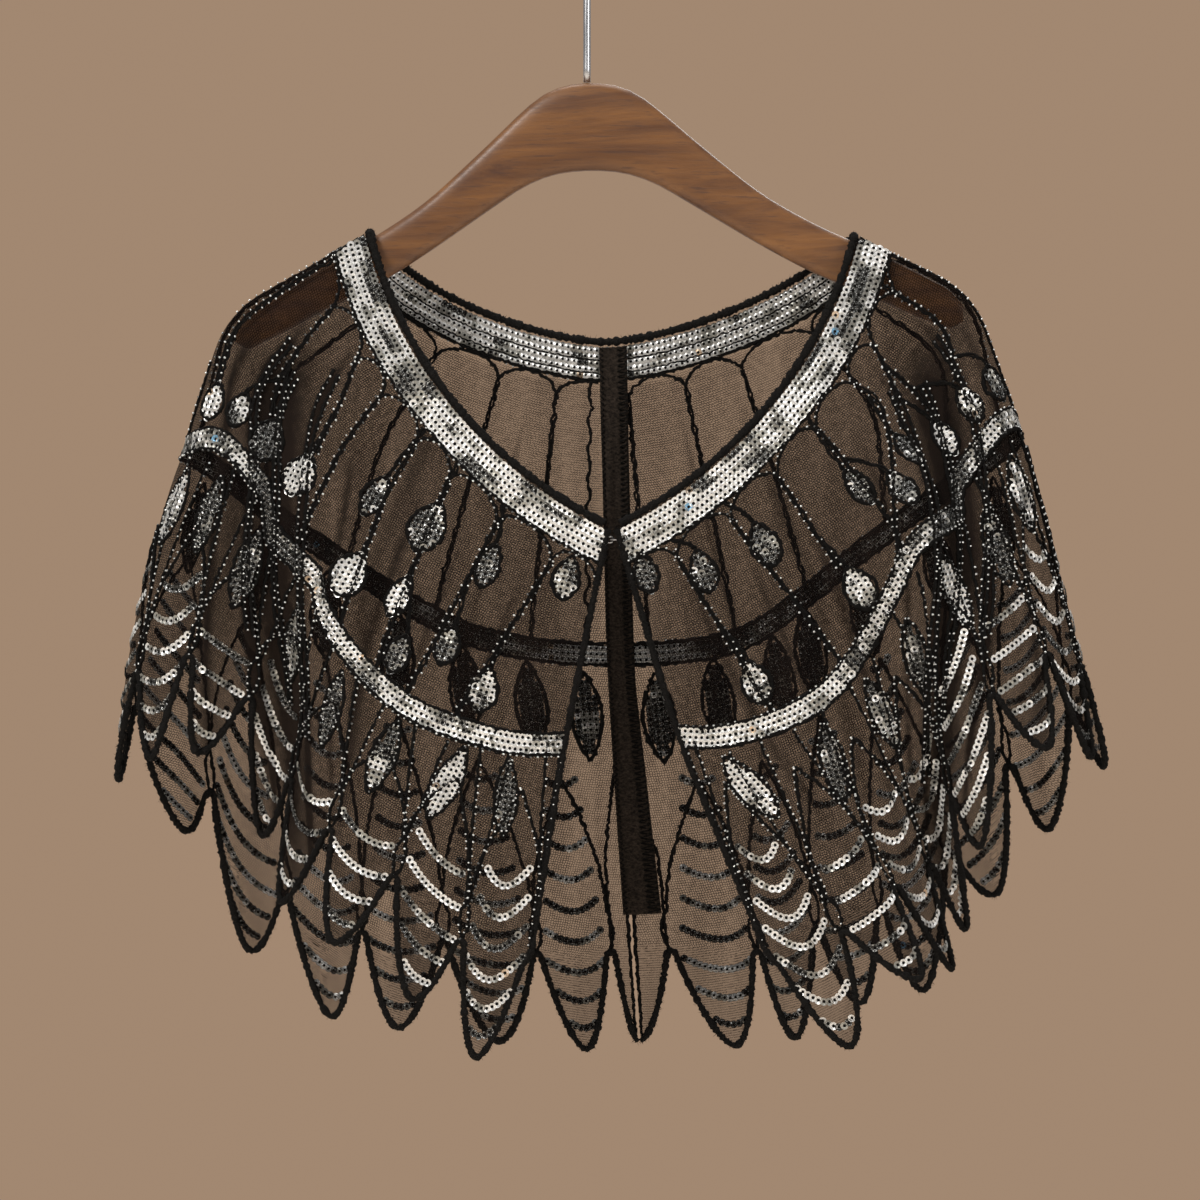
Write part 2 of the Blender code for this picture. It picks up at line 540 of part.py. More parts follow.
# ------------------------------------------------------------------ the hanger
def make_hanger(finish):
    """The wooden hanger: rounded sections set along both arms."""
    stations = [s.away / 200.0 for s in HANGER_PROFILE]
    away = np.array([-s * ARM_LEFT for s in stations[::-1]] + [s * ARM_RIGHT for s in stations[1:]])
    top, bottom = hanger_edge(away, "top"), hanger_edge(away, "bottom")
    out = hanger_out(away)
    slim = np.interp(np.abs(away), SLIM_AWAY, SLIM_SHARE)
    turn = (np.arange(HANGER_SIDES) + 0.5) * 2 * math.pi / HANGER_SIDES
    wide = np.sign(np.cos(turn)) * np.abs(np.cos(turn)) ** HANGER_SQUARE
    high = np.sign(np.sin(turn)) * np.abs(np.sin(turn)) ** HANGER_SQUARE
    rings = []
    for i in range(len(away)):
        depth = out[i] + HANGER_THICK / 2 * slim[i] * wide
        down = (top[i] + bottom[i]) / 2 - (bottom[i] - top[i]) / 2 * high
        across = np.full_like(depth, away[i] + ARM_MIDDLE)
        rings.append(to_frame(np.stack([across, depth, down], axis=1)))
    count = len(turn)
    vertices = np.concatenate(rings)
    faces = [tuple(range(count)), tuple(range(len(vertices) - count, len(vertices)))]
    for i in range(len(away) - 1):
        for j in range(count):
            a, b = i * count + j, i * count + (j + 1) % count
            faces.append((a, b, b + count, a + count))
    made = add_object("hanger_wood", vertices, faces, finish)
    made.data.shade_smooth()
    return made


def make_hook(finish):
    """The steel wire: a straight shank, a short swing to the side and the round hook over the rod."""
    middle = np.array([0.0, WIRE_RADIUS - HOOK_RADIUS])
    foot = -CROWN_BELOW_HOOK + SEAM_GAP
    join = math.radians(-62.0)
    join_point = middle + HOOK_RADIUS * np.array([math.cos(join), math.sin(join)])
    join_way = np.array([-math.sin(join), math.cos(join)])
    shank_top = np.array([0.0, foot + HOOK_SHANK])
    reach = np.linalg.norm(join_point - shank_top)
    points = [np.array([0.0, foot + HOOK_SHANK * k / 3]) for k in range(4)]
    for k in range(1, 7):
        t = k / 7
        start = (1 + 2 * t) * (1 - t) ** 2 * shank_top + t * (1 - t) ** 2 * reach * np.array([0.0, 1.0])
        points.append(start + t * t * (3 - 2 * t) * join_point - t * t * (1 - t) * reach * join_way)
    for turn in np.linspace(join, math.radians(196.0), 26):
        points.append(middle + HOOK_RADIUS * np.array([math.cos(turn), math.sin(turn)]))
    path = np.array([(p[0], 0.0, p[1]) for p in points]) * MM
    tube("hanger_wire", path, WIRE_RADIUS * MM, 10, finish)


def main():
    """Builds every piece."""
    for old in list(bpy.data.objects):
        bpy.data.objects.remove(old, do_unlink=True)
    net = material("black_net", (0.03, 0.026, 0.024), 0.8)
    cord = material("black_cord", (0.012, 0.012, 0.012), 0.95)
    silver = material("silver_sequins", (0.72, 0.72, 0.7), 0.25, 0.9)
    wood = material("satin_wood", (0.36, 0.17, 0.07), 0.42)
    steel = material("brushed_wire", (0.6, 0.6, 0.6), 0.3, 1.0)
    left = Half(-1, LEFT_ROWS, ARM_LEFT, LEFT_BOW)
    right = Half(1, RIGHT_ROWS, ARM_RIGHT, RIGHT_BOW)
    for half, word in ((left, "left"), (right, "right")):
        ring, levels = make_body(half, f"body_{word}", net)
        make_band(half, f"neck_band_{word}", ring, levels, slice(0, 2), silver)
        make_band(half, f"yoke_band_{word}", ring, levels, slice(4, 6), silver)
        make_edge_cord(half, f"edge_cord_{word}", cord)
    make_binding((left, right), cord)
    make_seam((left, right), cord)
    make_clasp((left, right), steel)
    make_hanger(wood)
    make_hook(steel)


main()
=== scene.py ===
"""Looks of a sequin capelet on a contoured wooden hanger.

The capelet is sheer net, open at the centre front and seamed at the centre back. A place on the cloth is told
by a ring value (0 at the front edge, 8 on the shoulder, 14.35 at the back seam; one unit is one hem point)
and by the millimetres along the cloth from the neck edge. The tables of rows and of the hanger's profile are
those of the part's own source, so every piece lies on its solid.
"""

import json
import logging
import math
from collections import namedtuple
from dataclasses import dataclass, field
from enum import Enum

import bpy
import numpy as np
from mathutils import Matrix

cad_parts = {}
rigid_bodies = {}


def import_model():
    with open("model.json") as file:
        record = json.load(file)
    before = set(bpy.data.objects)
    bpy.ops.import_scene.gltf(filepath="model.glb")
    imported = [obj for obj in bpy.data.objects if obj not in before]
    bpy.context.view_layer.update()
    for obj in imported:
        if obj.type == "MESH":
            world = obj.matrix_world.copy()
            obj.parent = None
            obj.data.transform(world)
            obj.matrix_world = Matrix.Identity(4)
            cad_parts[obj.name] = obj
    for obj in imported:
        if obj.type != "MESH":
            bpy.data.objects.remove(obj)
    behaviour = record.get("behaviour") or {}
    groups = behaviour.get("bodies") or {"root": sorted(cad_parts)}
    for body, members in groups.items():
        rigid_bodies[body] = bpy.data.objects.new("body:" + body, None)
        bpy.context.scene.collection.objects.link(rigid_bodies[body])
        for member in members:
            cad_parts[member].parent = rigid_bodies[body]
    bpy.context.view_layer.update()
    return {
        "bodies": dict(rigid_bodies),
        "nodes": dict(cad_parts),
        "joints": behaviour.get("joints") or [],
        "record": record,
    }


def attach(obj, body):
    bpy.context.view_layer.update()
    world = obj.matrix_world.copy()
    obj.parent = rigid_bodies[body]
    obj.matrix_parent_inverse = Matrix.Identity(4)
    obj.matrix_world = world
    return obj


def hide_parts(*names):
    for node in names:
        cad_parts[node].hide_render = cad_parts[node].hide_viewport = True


LOG = logging.getLogger("capelet")
MM = 0.001
FOCUS = "focus"
BLACK = np.array([0.01, 0.01, 0.01, 1.0])

# ------------------------------------------------------------ sizes shared with the solids, in millimetres
CROWN_BELOW_HOOK = 90.0
CAPE_SHIFT = 13.75
NECK_RADIUS = 256.0
NECK_MIDDLE = (111.5, 14.1)
NECK_START, NECK_SWEEP = 26.3, 46.5
NECK_BACK_DOWN, NECK_BACK_RISE, NECK_BACK_HALF = 141.5, 38.0, 115.0
NECK_BACK_SHAPE, NECK_BACK_MIDDLE = 1.6, -4.0
NECK_OUT_FRONT, NECK_OUT_BACK = 45.0, 40.0
SHOULDER, SADDLE_HALF, SADDLE_OUT, CENTRE_BACK = 8.0, 0.25, 7.6, 14.35
KNEE_SOFT, BAND_SOFT = 22.0, 26.0
BINDING_RADIUS, CORD_RADIUS, CORD_TURN = 2.3, 1.6, 2.5
NECK_BAND = (3.0, 20.5)
NOTCH_DEPTH, NOTCH_BULGE, POINT_SHAPE = 54.0, 23.0, 1.8
YOKE_BAND_EDGE = 6.0
DEEP_FOLD = 1.2
ARMS, PROFILE_LENGTH = (193.0, 206.5), 200.0
ARM_MIDDLE = -CAPE_SHIFT
HANGER_THICK, HANGER_SWEEP, HANGER_TILT = 13.0, 10.0, 1.65
WIRE_RADIUS, HOOK_RADIUS, HOOK_SHANK = 2.0, 20.0, 46.0
LAST_POINT = math.floor(CENTRE_BACK)

Station = namedtuple("Station", "away top bottom")
HANGER_PROFILE = (
    Station(0, 0.0, 48.4),
    Station(14, 1.6, 49.3),
    Station(26, 6.5, 52.2),
    Station(38, 15.8, 57.5),
    Station(52, 28.5, 66.2),
    Station(70, 44.5, 77.8),
    Station(91, 62.2, 91.2),
    Station(118, 79.5, 106.8),
    Station(150, 95.8, 121.6),
    Station(182, 113.2, 136.8),
    Station(194, 121.0, 141.0),
    Station(200, 128.5, 137.5),
)
Row = namedtuple("Row", "ring hold band_across band_out band_down tip_across tip_out tip_down")
CENTRE_BACK_ROW = (0.0, 63.0, 315.0, 15.0, 80.0, 532.0)
LEFT_ROWS = (
    Row(0.0, 0.0, 26, -48, 362, 52, -52, 526),
    Row(0.5, 0.0, 45, -53, 362, 74, -60, 535),
    Row(1.5, 0.0, 79, -60, 355, 110, -76, 502),
    Row(2.5, 0.0, 114, -68, 340, 152, -90, 471),
    Row(3.5, 0.0, 144, -70, 312, 181, -52, 450),
    Row(4.5, 0.0, 167, -58, 276, 193, -14, 414),
    Row(5.5, 0.3, 189, -56, 236, 227, -50, 369),
    Row(6.5, 0.75, 211, -44, 205, 251, -60, 372),
    Row(7.5, 1.0, 232, -22, 199, 271, -14, 384),
    Row(8.0, 1.0, 234, -2, 200, 262, 12, 396),
    Row(8.5, 0.95, 222, 18, 209, 238, 30, 412),
    Row(9.5, 0.6, 193, 42, 232, 203, 62, 479),
    Row(10.5, 0.2, 158, 52, 258, 157, 84, 518),
    Row(11.5, 0.0, 119, 56, 284, 119, 68, 524),
    Row(12.5, 0.0, 79, 60, 304, 63, 86, 532),
    Row(13.5, 0.0, 35, 62, 313, 14, 72, 536),
)
RIGHT_ROWS = (
    Row(0.0, 0.0, 36, -46, 359, 103, -50, 523),
    Row(0.5, 0.0, 51, -50, 360, 130, -58, 529),
    Row(1.5, 0.0, 86, -57, 353, 168, -82, 491),
    Row(2.5, 0.0, 120, -65, 334, 186, -46, 487),
    Row(3.5, 0.0, 147, -64, 300, 195, -14, 466),
    Row(4.5, 0.0, 173, -72, 252, 202, -64, 418),
    Row(5.5, 0.3, 194, -46, 224, 238, -62, 366),
    Row(6.5, 0.75, 213, -38, 196, 262, -36, 372),
    Row(7.5, 1.0, 224, -18, 190, 271, -8, 377),
    Row(8.0, 1.0, 223, 0, 194, 262, 16, 392),
    Row(8.5, 0.95, 208, 22, 206, 243, 40, 412),
    Row(9.5, 0.6, 174, 42, 230, 215, 60, 448),
    Row(10.5, 0.2, 140, 52, 256, 175, 84, 503),
    Row(11.5, 0.0, 106, 56, 284, 139, 66, 510),
    Row(12.5, 0.0, 75, 60, 305, 103, 86, 530),
    Row(13.5, 0.0, 38, 62, 313, 69, 74, 534),
)

# The teardrops of the yoke: where each hangs, as a share of the way from the neck to the yoke band, its width
# and length, and how many of its sequins are bright: partly their own silver, partly painted reflection where
# they would catch the light.
Drop = namedtuple("Drop", "ring share wide long bright")
LEFT_DROPS = (
    Drop(0.58, 0.15, 15, 25, 0.5),
    Drop(1.44, 0.80, 16, 25, 0.6),
    Drop(2.05, 0.28, 13, 26, 0.1),
    Drop(2.21, 0.68, 13, 23, 0.4),
    Drop(2.85, 0.84, 14, 23, 0.15),
    Drop(3.2, 0.64, 12, 26, 0.9),
    Drop(3.31, 0.32, 20, 30, 0.3),
    Drop(4.05, 0.77, 20, 27, 1.0),
    Drop(4.37, 0.43, 13, 26, 0.4),
    Drop(5.31, 0.70, 22, 26, 1.0),
    Drop(5.91, 0.74, 20, 27, 0.0),
    Drop(6.5, 0.76, 13, 22, 0.3),
    Drop(7.12, 0.80, 14, 22, 1.0),
)
RIGHT_DROPS = (
    Drop(0.32, 0.10, 13, 23, 0.1),
    Drop(1.38, 0.22, 15, 25, 0.1),
    Drop(1.54, 0.79, 17, 25, 0.6),
    Drop(2.57, 0.28, 16, 27, 0.15),
    Drop(3.53, 0.78, 18, 26, 0.6),
    Drop(4.29, 0.48, 12, 26, 0.0),
    Drop(4.71, 0.69, 15, 24, 0.6),
    Drop(5.15, 0.57, 13, 22, 0.25),
    Drop(5.69, 0.71, 12, 24, 0.95),
    Drop(6.3, 0.73, 15, 23, 0.6),
    Drop(7.1, 0.76, 14, 22, 0.2),
)

# The leaves under the yoke band: the ring value, the millimetres below the band's middle, the width, how far
# each leans and how bright its sequins are, partly their own silver and partly painted reflection.
Leaf = namedtuple("Leaf", "ring below wide lean bright")
LEFT_LEAVES = (
    Leaf(0.72, 31, 13, -0.1, 0.05),
    Leaf(1.62, 31, 17, 0.28, 1.0),
    Leaf(2.55, 32, 15, 0.1, 0.3),
    Leaf(3.5, 33, 14, 0.0, 0.15),
    Leaf(4.5, 34, 14, -0.1, 0.5),
    Leaf(5.5, 33, 14, 0.0, 0.1),
    Leaf(6.4, 32, 14, 0.0, 0.1),
    Leaf(7.15, 35, 16, 0.05, 0.85),
    Leaf(8.5, 36, 16, 0.0, 0.1),
    Leaf(9.5, 36, 17, 0.0, 0.15),
    Leaf(10.5, 35, 17, 0.0, 0.1),
    Leaf(11.5, 33, 18, 0.0, 0.15),
    Leaf(12.4, 32, 18, 0.05, 0.1),
    Leaf(13.21, 32, 18, 0.05, 0.2),
    Leaf(13.94, 35, 17, 0.0, 0.3),
)
RIGHT_LEAVES = (
    Leaf(0.8, 31, 17, 0.28, 1.0),
    Leaf(2.05, 33, 14, -0.2, 0.1),
    Leaf(3.1, 34, 14, 0.1, 0.35),
    Leaf(3.9, 36, 14, 0.0, 0.1),
    Leaf(4.77, 37, 16, 0.25, 0.95),
    Leaf(5.7, 40, 15, 0.0, 0.1),
    Leaf(6.6, 33, 16, 0.0, 0.7),
    Leaf(7.5, 33, 14, 0.0, 0.15),
    Leaf(8.5, 36, 16, 0.0, 0.1),
    Leaf(9.5, 36, 17, 0.0, 0.1),
    Leaf(10.6, 34, 17, 0.0, 0.15),
    Leaf(11.5, 30, 18, 0.0, 0.1),
    Leaf(12.07, 32, 18, 0.0, 0.15),
    Leaf(13.06, 31, 18, 0.0, 0.1),
    Leaf(13.86, 36, 18, 0.0, 0.3),
)

# Feet of the arches round the neck, the last one past the back seam.
LEFT_FEET = (0, 0.94, 2.19, 3.37, 4.27, 5.17, 5.87, 6.88, 8.25, 9.5, 10.76, 11.98, 13.24, 14.82)
RIGHT_FEET = (0, 1.0, 2.23, 3.37, 4.41, 5.37, 6.1, 7.14, 8.25, 9.2, 10.15, 11.4, 12.64, 13.88, 15.46)

# The braided lines of the yoke's front, each as pairs of a ring value and millimetres from the neck; LOW is
# the yoke band.
LOW = 999.0
LEFT_BRAIDS = (
    ((0.94, 33), (1.36, 81), (1.75, LOW)),
    ((2.19, 33), (2.35, 87), (2.5, LOW)),
    ((3.37, 33), (3.23, 76), (3.05, LOW)),
    ((4.27, 33), (4.21, 64), (4.03, 93), (3.8, LOW)),
    ((5.17, 33), (5.05, 70), (4.9, LOW)),
    ((5.87, 31), (5.45, 55), (5.27, 80)),
    ((6.88, 31), (6.52, 58), (6.0, 90)),
    ((7.64, 24), (7.64, 45), (7.45, 90), (7.17, 114)),
    ((7.95, 118), (7.9, LOW)),
)
RIGHT_BRAIDS = (
    ((1.0, 33), (1.36, 85), (1.6, LOW)),
    ((2.23, 33), (2.59, 89), (2.8, LOW)),
    ((3.37, 33), (3.43, 79), (3.45, 92)),
    ((4.41, 33), (4.31, 92), (4.2, LOW)),
    ((5.37, 33), (5.31, 52), (4.4, 96), (4.1, LOW)),
    ((6.1, 30), (5.89, 41), (5.3, 68)),
    ((5.89, 41), (5.75, 79)),
    ((7.14, 23), (6.98, 59), (6.36, 82)),
    ((7.76, 22), (7.85, 70), (7.8, LOW)),
)

# How far the yoke band rides up or down at the folds of the net, at rising ring values, in millimetres.
LEFT_SHIFT = ((0, 1), (4.2, 0.5), (4.45, -6.5), (5.35, 6), (5.65, -7), (6.9, -5), (7.8, 2), (8.6, 0))
RIGHT_SHIFT = ((0, 0), (2.4, -1), (4.35, -5.5), (5.2, 6), (5.5, -7), (7.2, -5.5), (8.0, 0), (8.6, 0))

# The folds of the net: where each crosses 90 mm and 200 mm below the neck edge, its half width, how far it
# stands in or out, where it starts and ends, and how much darker the gathered net is, which also paints shade
# on the yoke band's sequins there. The keys are Side's.
Crease = namedtuple("Crease", "upper lower half depth start end dark")
CREASES = {
    -1: (
        Crease(5.85, 4.35, 0.40, 6.0, 45, 300, 1.3),
        Crease(6.35, 5.0, 0.10, -2.0, 40, 300, 1.6),
        Crease(5.28, 3.85, 0.07, -2.0, 25, 300, 1.7),
        Crease(7.0, 5.9, 0.12, -2.0, 60, 300, 0.9),
        Crease(4.6, 3.3, 0.05, 1.0, 50, 260, 0.7),
        Crease(3.5, 3.0, 0.08, 1.5, 40, 260, 0.6),
        Crease(2.6, 2.45, 0.05, 1.0, 50, 230, 0.4),
        Crease(1.5, 1.8, 0.07, -1.2, 40, 240, 0.4),
        Crease(9.4, 9.1, 0.25, 3.5, 60, 300, 0.5),
        Crease(11.2, 11.0, 0.10, -2.5, 40, 320, 0.3),
        Crease(12.6, 12.4, 0.05, 1.2, 40, 320, 0.3),
    ),
    1: (
        Crease(5.65, 4.25, 0.34, 5.5, 45, 300, 1.8),
        Crease(6.35, 5.0, 0.08, -2.0, 40, 300, 1.4),
        Crease(5.15, 3.8, 0.06, -1.5, 30, 300, 1.3),
        Crease(7.0, 6.0, 0.12, -2.0, 60, 300, 0.6),
        Crease(4.4, 3.4, 0.05, 1.0, 50, 280, 0.6),
        Crease(3.3, 2.8, 0.08, 1.5, 40, 260, 0.5),
        Crease(2.2, 2.1, 0.05, 1.0, 50, 230, 0.4),
        Crease(1.2, 1.5, 0.07, -1.2, 40, 240, 0.4),
        Crease(9.2, 9.0, 0.25, 3.0, 60, 300, 0.5),
        Crease(11.5, 11.2, 0.10, -2.5, 40, 320, 0.3),
        Crease(12.8, 12.6, 0.05, 1.2, 40, 320, 0.3),
    ),
}


class Side(Enum):
    """Which half of the capelet, as seen in the picture."""

    LEFT = -1
    RIGHT = 1

    @property
    def word(self) -> str:
        """The half's name as the nodes have it."""
        return self.name.lower()


# ------------------------------------------------------------------ small mathematics
def unit(vectors: np.ndarray) -> np.ndarray:
    """Vectors of length one.

    Args:
        vectors: any array whose last axis is x, y, z.

    Returns:
        The same directions, each of length one.
    """
    return vectors / np.maximum(np.linalg.norm(vectors, axis=-1, keepdims=True), 1e-12)


def smooth_columns(at: np.ndarray, rows: np.ndarray) -> np.ndarray:
    """Every column of a table as smooth curves through its rows.

    Args:
        at: the values to read the table at.
        rows: the table, its first column in rising order.

    Returns:
        One row for each value, without the first column.
    """
    knots, values = rows[:, 0], rows[:, 1:]
    slopes = np.gradient(values, knots, axis=0)
    cell = np.clip(np.searchsorted(knots, at, side="right") - 1, 0, len(knots) - 2)
    width = (knots[cell + 1] - knots[cell])[:, None]
    t = (at - knots[cell])[:, None] / width
    return bend_between(t, width, (values[cell], slopes[cell]), (values[cell + 1], slopes[cell + 1]))


def bend_between(t: np.ndarray, width: object, start: tuple, end: tuple) -> np.ndarray:
    """A smooth curve between two ends.

    Args:
        t: shares of the way from start to end.
        width: how far apart the ends are.
        start: the first end's value and slope.
        end: the same of the last end.

    Returns:
        The curve's value at each share.
    """
    first = (1 + 2 * t) * (1 - t) ** 2 * start[0] + t * (1 - t) ** 2 * width * start[1]
    last = t * t * (3 - 2 * t) * end[0] - t * t * (1 - t) * width * end[1]
    return first + last


def ripple(a: np.ndarray, b: np.ndarray, seed: float) -> np.ndarray:
    """A soft uneven pattern between about -1 and 1, the same in each run.

    Args:
        a: first coordinate, one soft patch for each unit or so.
        b: second coordinate, the same.
        seed: any number, to make one pattern unlike another.

    Returns:
        The pattern's value for each pair.
    """
    first = np.sin(2.1 * a + 1.3 * b + seed) + np.sin(-1.2 * a + 2.6 * b + 2.3 * seed)
    second = np.sin(3.7 * a - 1.9 * b + 4.1 * seed) + np.sin(0.8 * a + 4.3 * b - 1.7 * seed)
    return (first + second) / 2.6


def hanger_edge(away: np.ndarray, edge: str, arms: tuple[float, float]) -> np.ndarray:
    """Drop of the top or bottom edge of the wood.

    Args:
        away: signed distances from the hanger's middle.
        edge: "top" or "bottom".
        arms: lengths of the left and the right arm.

    Returns:
        Millimetres below the crown.
    """
    length = np.where(away < 0, arms[0], arms[1])
    table = np.array([(s.away, getattr(s, edge)) for s in HANGER_PROFILE], dtype=float)
    place = np.clip(np.abs(away) / length * PROFILE_LENGTH, 0.0, PROFILE_LENGTH)
    drop = smooth_columns(place, table)[:, 0]
    return drop - away * math.tan(math.radians(HANGER_TILT))


def travelled(points: np.ndarray) -> np.ndarray:
    """How far along a path each of its points lies, in millimetres."""
    return np.concatenate([[0.0], np.cumsum(np.linalg.norm(np.diff(points, axis=0), axis=1))]) / MM


def grid_faces(rows: int, columns: int) -> np.ndarray:
    """The four corners of every cell of a grid of points."""
    corner = (np.arange(rows - 1)[:, None] * columns + np.arange(columns - 1)[None, :]).ravel()
    return np.stack([corner, corner + columns, corner + columns + 1, corner + 1], axis=-1)


def crease_middle(crease: Crease, along: np.ndarray) -> np.ndarray:
    """The ring values of a fold's middle line, that many millimetres from the neck."""
    upper_level, fall = 90.0, 110.0
    return crease.upper + (crease.lower - crease.upper) * (along - upper_level) / fall


def knot_levels(
    neck: np.ndarray, knee: np.ndarray, band: np.ndarray, tip: np.ndarray
) -> tuple[np.ndarray, np.ndarray, np.ndarray]:
    """How far along the line down the cloth the knee, the yoke band and the tip are, in millimetres."""
    first = np.linalg.norm(knee - neck, axis=1)
    second = first + np.linalg.norm(band - knee, axis=1)
    return first, second, second + np.linalg.norm(tip - band, axis=1)


@dataclass
class CapeHalf:
    """The shape of one half of the capelet, from the neck edge to the hem.

    side says which half, rows is its table, arm the length of the hanger's arm under it and bow how far the
    cloth under the arm's end bellies outwards.
    """

    side: Side
    rows: tuple
    arm: float
    bow: float
    table: np.ndarray = field(init=False)

    def __post_init__(self) -> None:
        """Adds the centre back's row to the table."""
        sign = self.side.value
        across, out, down, tip_across, tip_out, tip_down = CENTRE_BACK_ROW
        back = Row(CENTRE_BACK, 0.0, sign * across, out, down, sign * tip_across, tip_out, tip_down)
        self.table = np.array(self.rows + (back,), dtype=float)

    def neck(self, ring: np.ndarray) -> np.ndarray:
        """The neck edge.

        Args:
            ring: ring values.

        Returns:
            Across to the right, out and down, in millimetres.
        """
        sign = self.side.value
        turn = np.radians(NECK_START + NECK_SWEEP * np.minimum(ring / (SHOULDER - SADDLE_HALF), 1.0))
        front_across = NECK_RADIUS * np.sin(turn) - NECK_MIDDLE[0]
        front_down = NECK_RADIUS * np.cos(turn) + NECK_MIDDLE[1]
        share = np.clip((ring - SHOULDER - SADDLE_HALF) / (CENTRE_BACK - SHOULDER - SADDLE_HALF), 0.0, 1.0)
        corner_turn = math.radians(NECK_START + NECK_SWEEP)
        corner_across = NECK_RADIUS * math.sin(corner_turn) - NECK_MIDDLE[0]
        corner_down = NECK_RADIUS * math.cos(corner_turn) + NECK_MIDDLE[1]
        away = np.array([sign * corner_across - ARM_MIDDLE])
        arm_out = -HANGER_SWEEP * (away[0] / PROFILE_LENGTH) ** 2
        seat = hanger_edge(away, "top", ARMS)[0] - BINDING_RADIUS - 0.9
        middle = sign * NECK_BACK_MIDDLE
        back_across = middle + (corner_across - middle) * (1.0 - share)
        rise = (np.abs(back_across - middle) / NECK_BACK_HALF) ** NECK_BACK_SHAPE * NECK_BACK_RISE
        corner_rise = ((corner_across - middle) / NECK_BACK_HALF) ** NECK_BACK_SHAPE * NECK_BACK_RISE
        back_down = NECK_BACK_DOWN - rise - (NECK_BACK_DOWN - corner_rise - seat) * (1.0 - share) ** 6
        away_ring = np.abs(ring - SHOULDER)
        saddle = np.sign(ring - SHOULDER) * np.minimum(away_ring, SADDLE_HALF) / SADDLE_HALF * SADDLE_OUT
        saddle = saddle + arm_out
        front_share = np.clip(ring / (SHOULDER - SADDLE_HALF), 0.0, 1.0)
        front_down = front_down + (seat - corner_down) * front_share ** 6
        front_out = arm_out - SADDLE_OUT - (NECK_OUT_FRONT - SADDLE_OUT + arm_out) * (1.0 - front_share ** 3)
        back_out = arm_out + SADDLE_OUT + (NECK_OUT_BACK - SADDLE_OUT - arm_out) * (1.0 - (1.0 - share) ** 3)
        blend = np.clip((ring - SHOULDER) / (2 * SADDLE_HALF) + 0.5, 0.0, 1.0)
        across = front_across * (1 - blend) + back_across * blend
        down = front_down * (1 - blend) + back_down * blend
        out = np.where(away_ring <= SADDLE_HALF, saddle, np.where(ring < SHOULDER, front_out, back_out))
        return np.stack([sign * across, out, down], axis=1)

    def knots(self, ring: np.ndarray) -> tuple[np.ndarray, np.ndarray, np.ndarray, np.ndarray]:
        """Neck, knee, yoke band and tip of the line down the cloth at each ring value."""
        sign = self.side.value
        columns = smooth_columns(ring, self.table)
        hold = np.clip(columns[:, 0:1], 0.0, 1.0)
        neck = self.neck(ring)
        band = columns[:, 1:4] * np.array([sign, 1.0, 1.0])
        tip = columns[:, 4:7] * np.array([sign, 1.0, 1.0])
        away = np.abs(ring - SHOULDER)
        past = np.maximum(away - SADDLE_HALF, 0.0)
        saddle_out = np.minimum(away, SADDLE_HALF) / SADDLE_HALF * SADDLE_OUT + 5.0 * past
        out = np.sign(ring - SHOULDER) * saddle_out - HANGER_SWEEP
        end_across = sign * (self.arm + 5.0) + ARM_MIDDLE
        end_down = hanger_edge(np.array([sign * (self.arm - 8.0)]), "top", ARMS)[0] + 3.5
        knee = np.stack([np.full_like(ring, end_across), out, end_down + 30.0 * past], axis=1)
        return neck, hold * knee + (1.0 - hold) * (neck + band) / 2.0, band, tip

    def lengths(self, ring: np.ndarray) -> tuple[np.ndarray, np.ndarray, np.ndarray]:
        """How far along the cloth the knee, the yoke band and the tip are at each ring value."""
        return knot_levels(*self.knots(ring))

    def levels(self, ring: float) -> tuple[float, float]:
        """How far along the cloth the yoke band and the tip are at one ring value."""
        _, band, tip = self.lengths(np.array([float(ring)]))
        return band[0], tip[0]

    def point(self, ring: np.ndarray, along: np.ndarray) -> np.ndarray:
        """Points on the cloth's middle surface.

        Args:
            ring: ring values.
            along: millimetres from the neck edge.

        Returns:
            Places in metres, in the part's frame.
        """
        ring, along = np.broadcast_arrays(np.asarray(ring, dtype=float), np.asarray(along, dtype=float))
        shape = ring.shape
        ring, along = ring.ravel(), along.ravel()
        neck, knee, band, tip = self.knots(ring)
        first, second, third = knot_levels(neck, knee, band, tip)
        ways = unit(knee - neck), unit(band - knee), unit(tip - band)
        place = neck + ways[0] * np.minimum(along, first)[:, None]
        place += ways[1] * np.clip(along - first, 0.0, second - first)[:, None]
        place += ways[2] * np.maximum(along - second, 0.0)[:, None]
        for corner, soft, before, after in ((first, KNEE_SOFT, *ways[:2]), (second, BAND_SOFT, *ways[1:])):
            near = np.maximum(soft - np.abs(along - corner), 0.0)
            place += (after - before) * (near ** 2 / (4.0 * soft))[:, None]
        fall = np.clip((along - second) / np.maximum(third - second, 1.0), 0.0, 1.2)
        hold = np.clip(smooth_columns(ring, self.table)[:, 0], 0.0, 1.0)
        place[:, 0] += self.side.value * self.bow * hold * 4.0 * fall * (1.0 - fall)
        loose = (1.0 - hold) * np.clip((along - 22.0) / 45.0, 0.0, 1.0)
        place[:, 1] += 0.9 * loose * ripple(ring * 3.1, along / 60.0, 2.0 + self.side.value)
        folds, _ = self.fold(ring, along)
        place[:, 1] += np.where(ring < SHOULDER, 1.0, -1.0) * folds
        frame = [place[:, 0] + CAPE_SHIFT, place[:, 1], -CROWN_BELOW_HOOK - place[:, 2]]
        return np.stack(frame, axis=-1).reshape(shape + (3,)) * MM

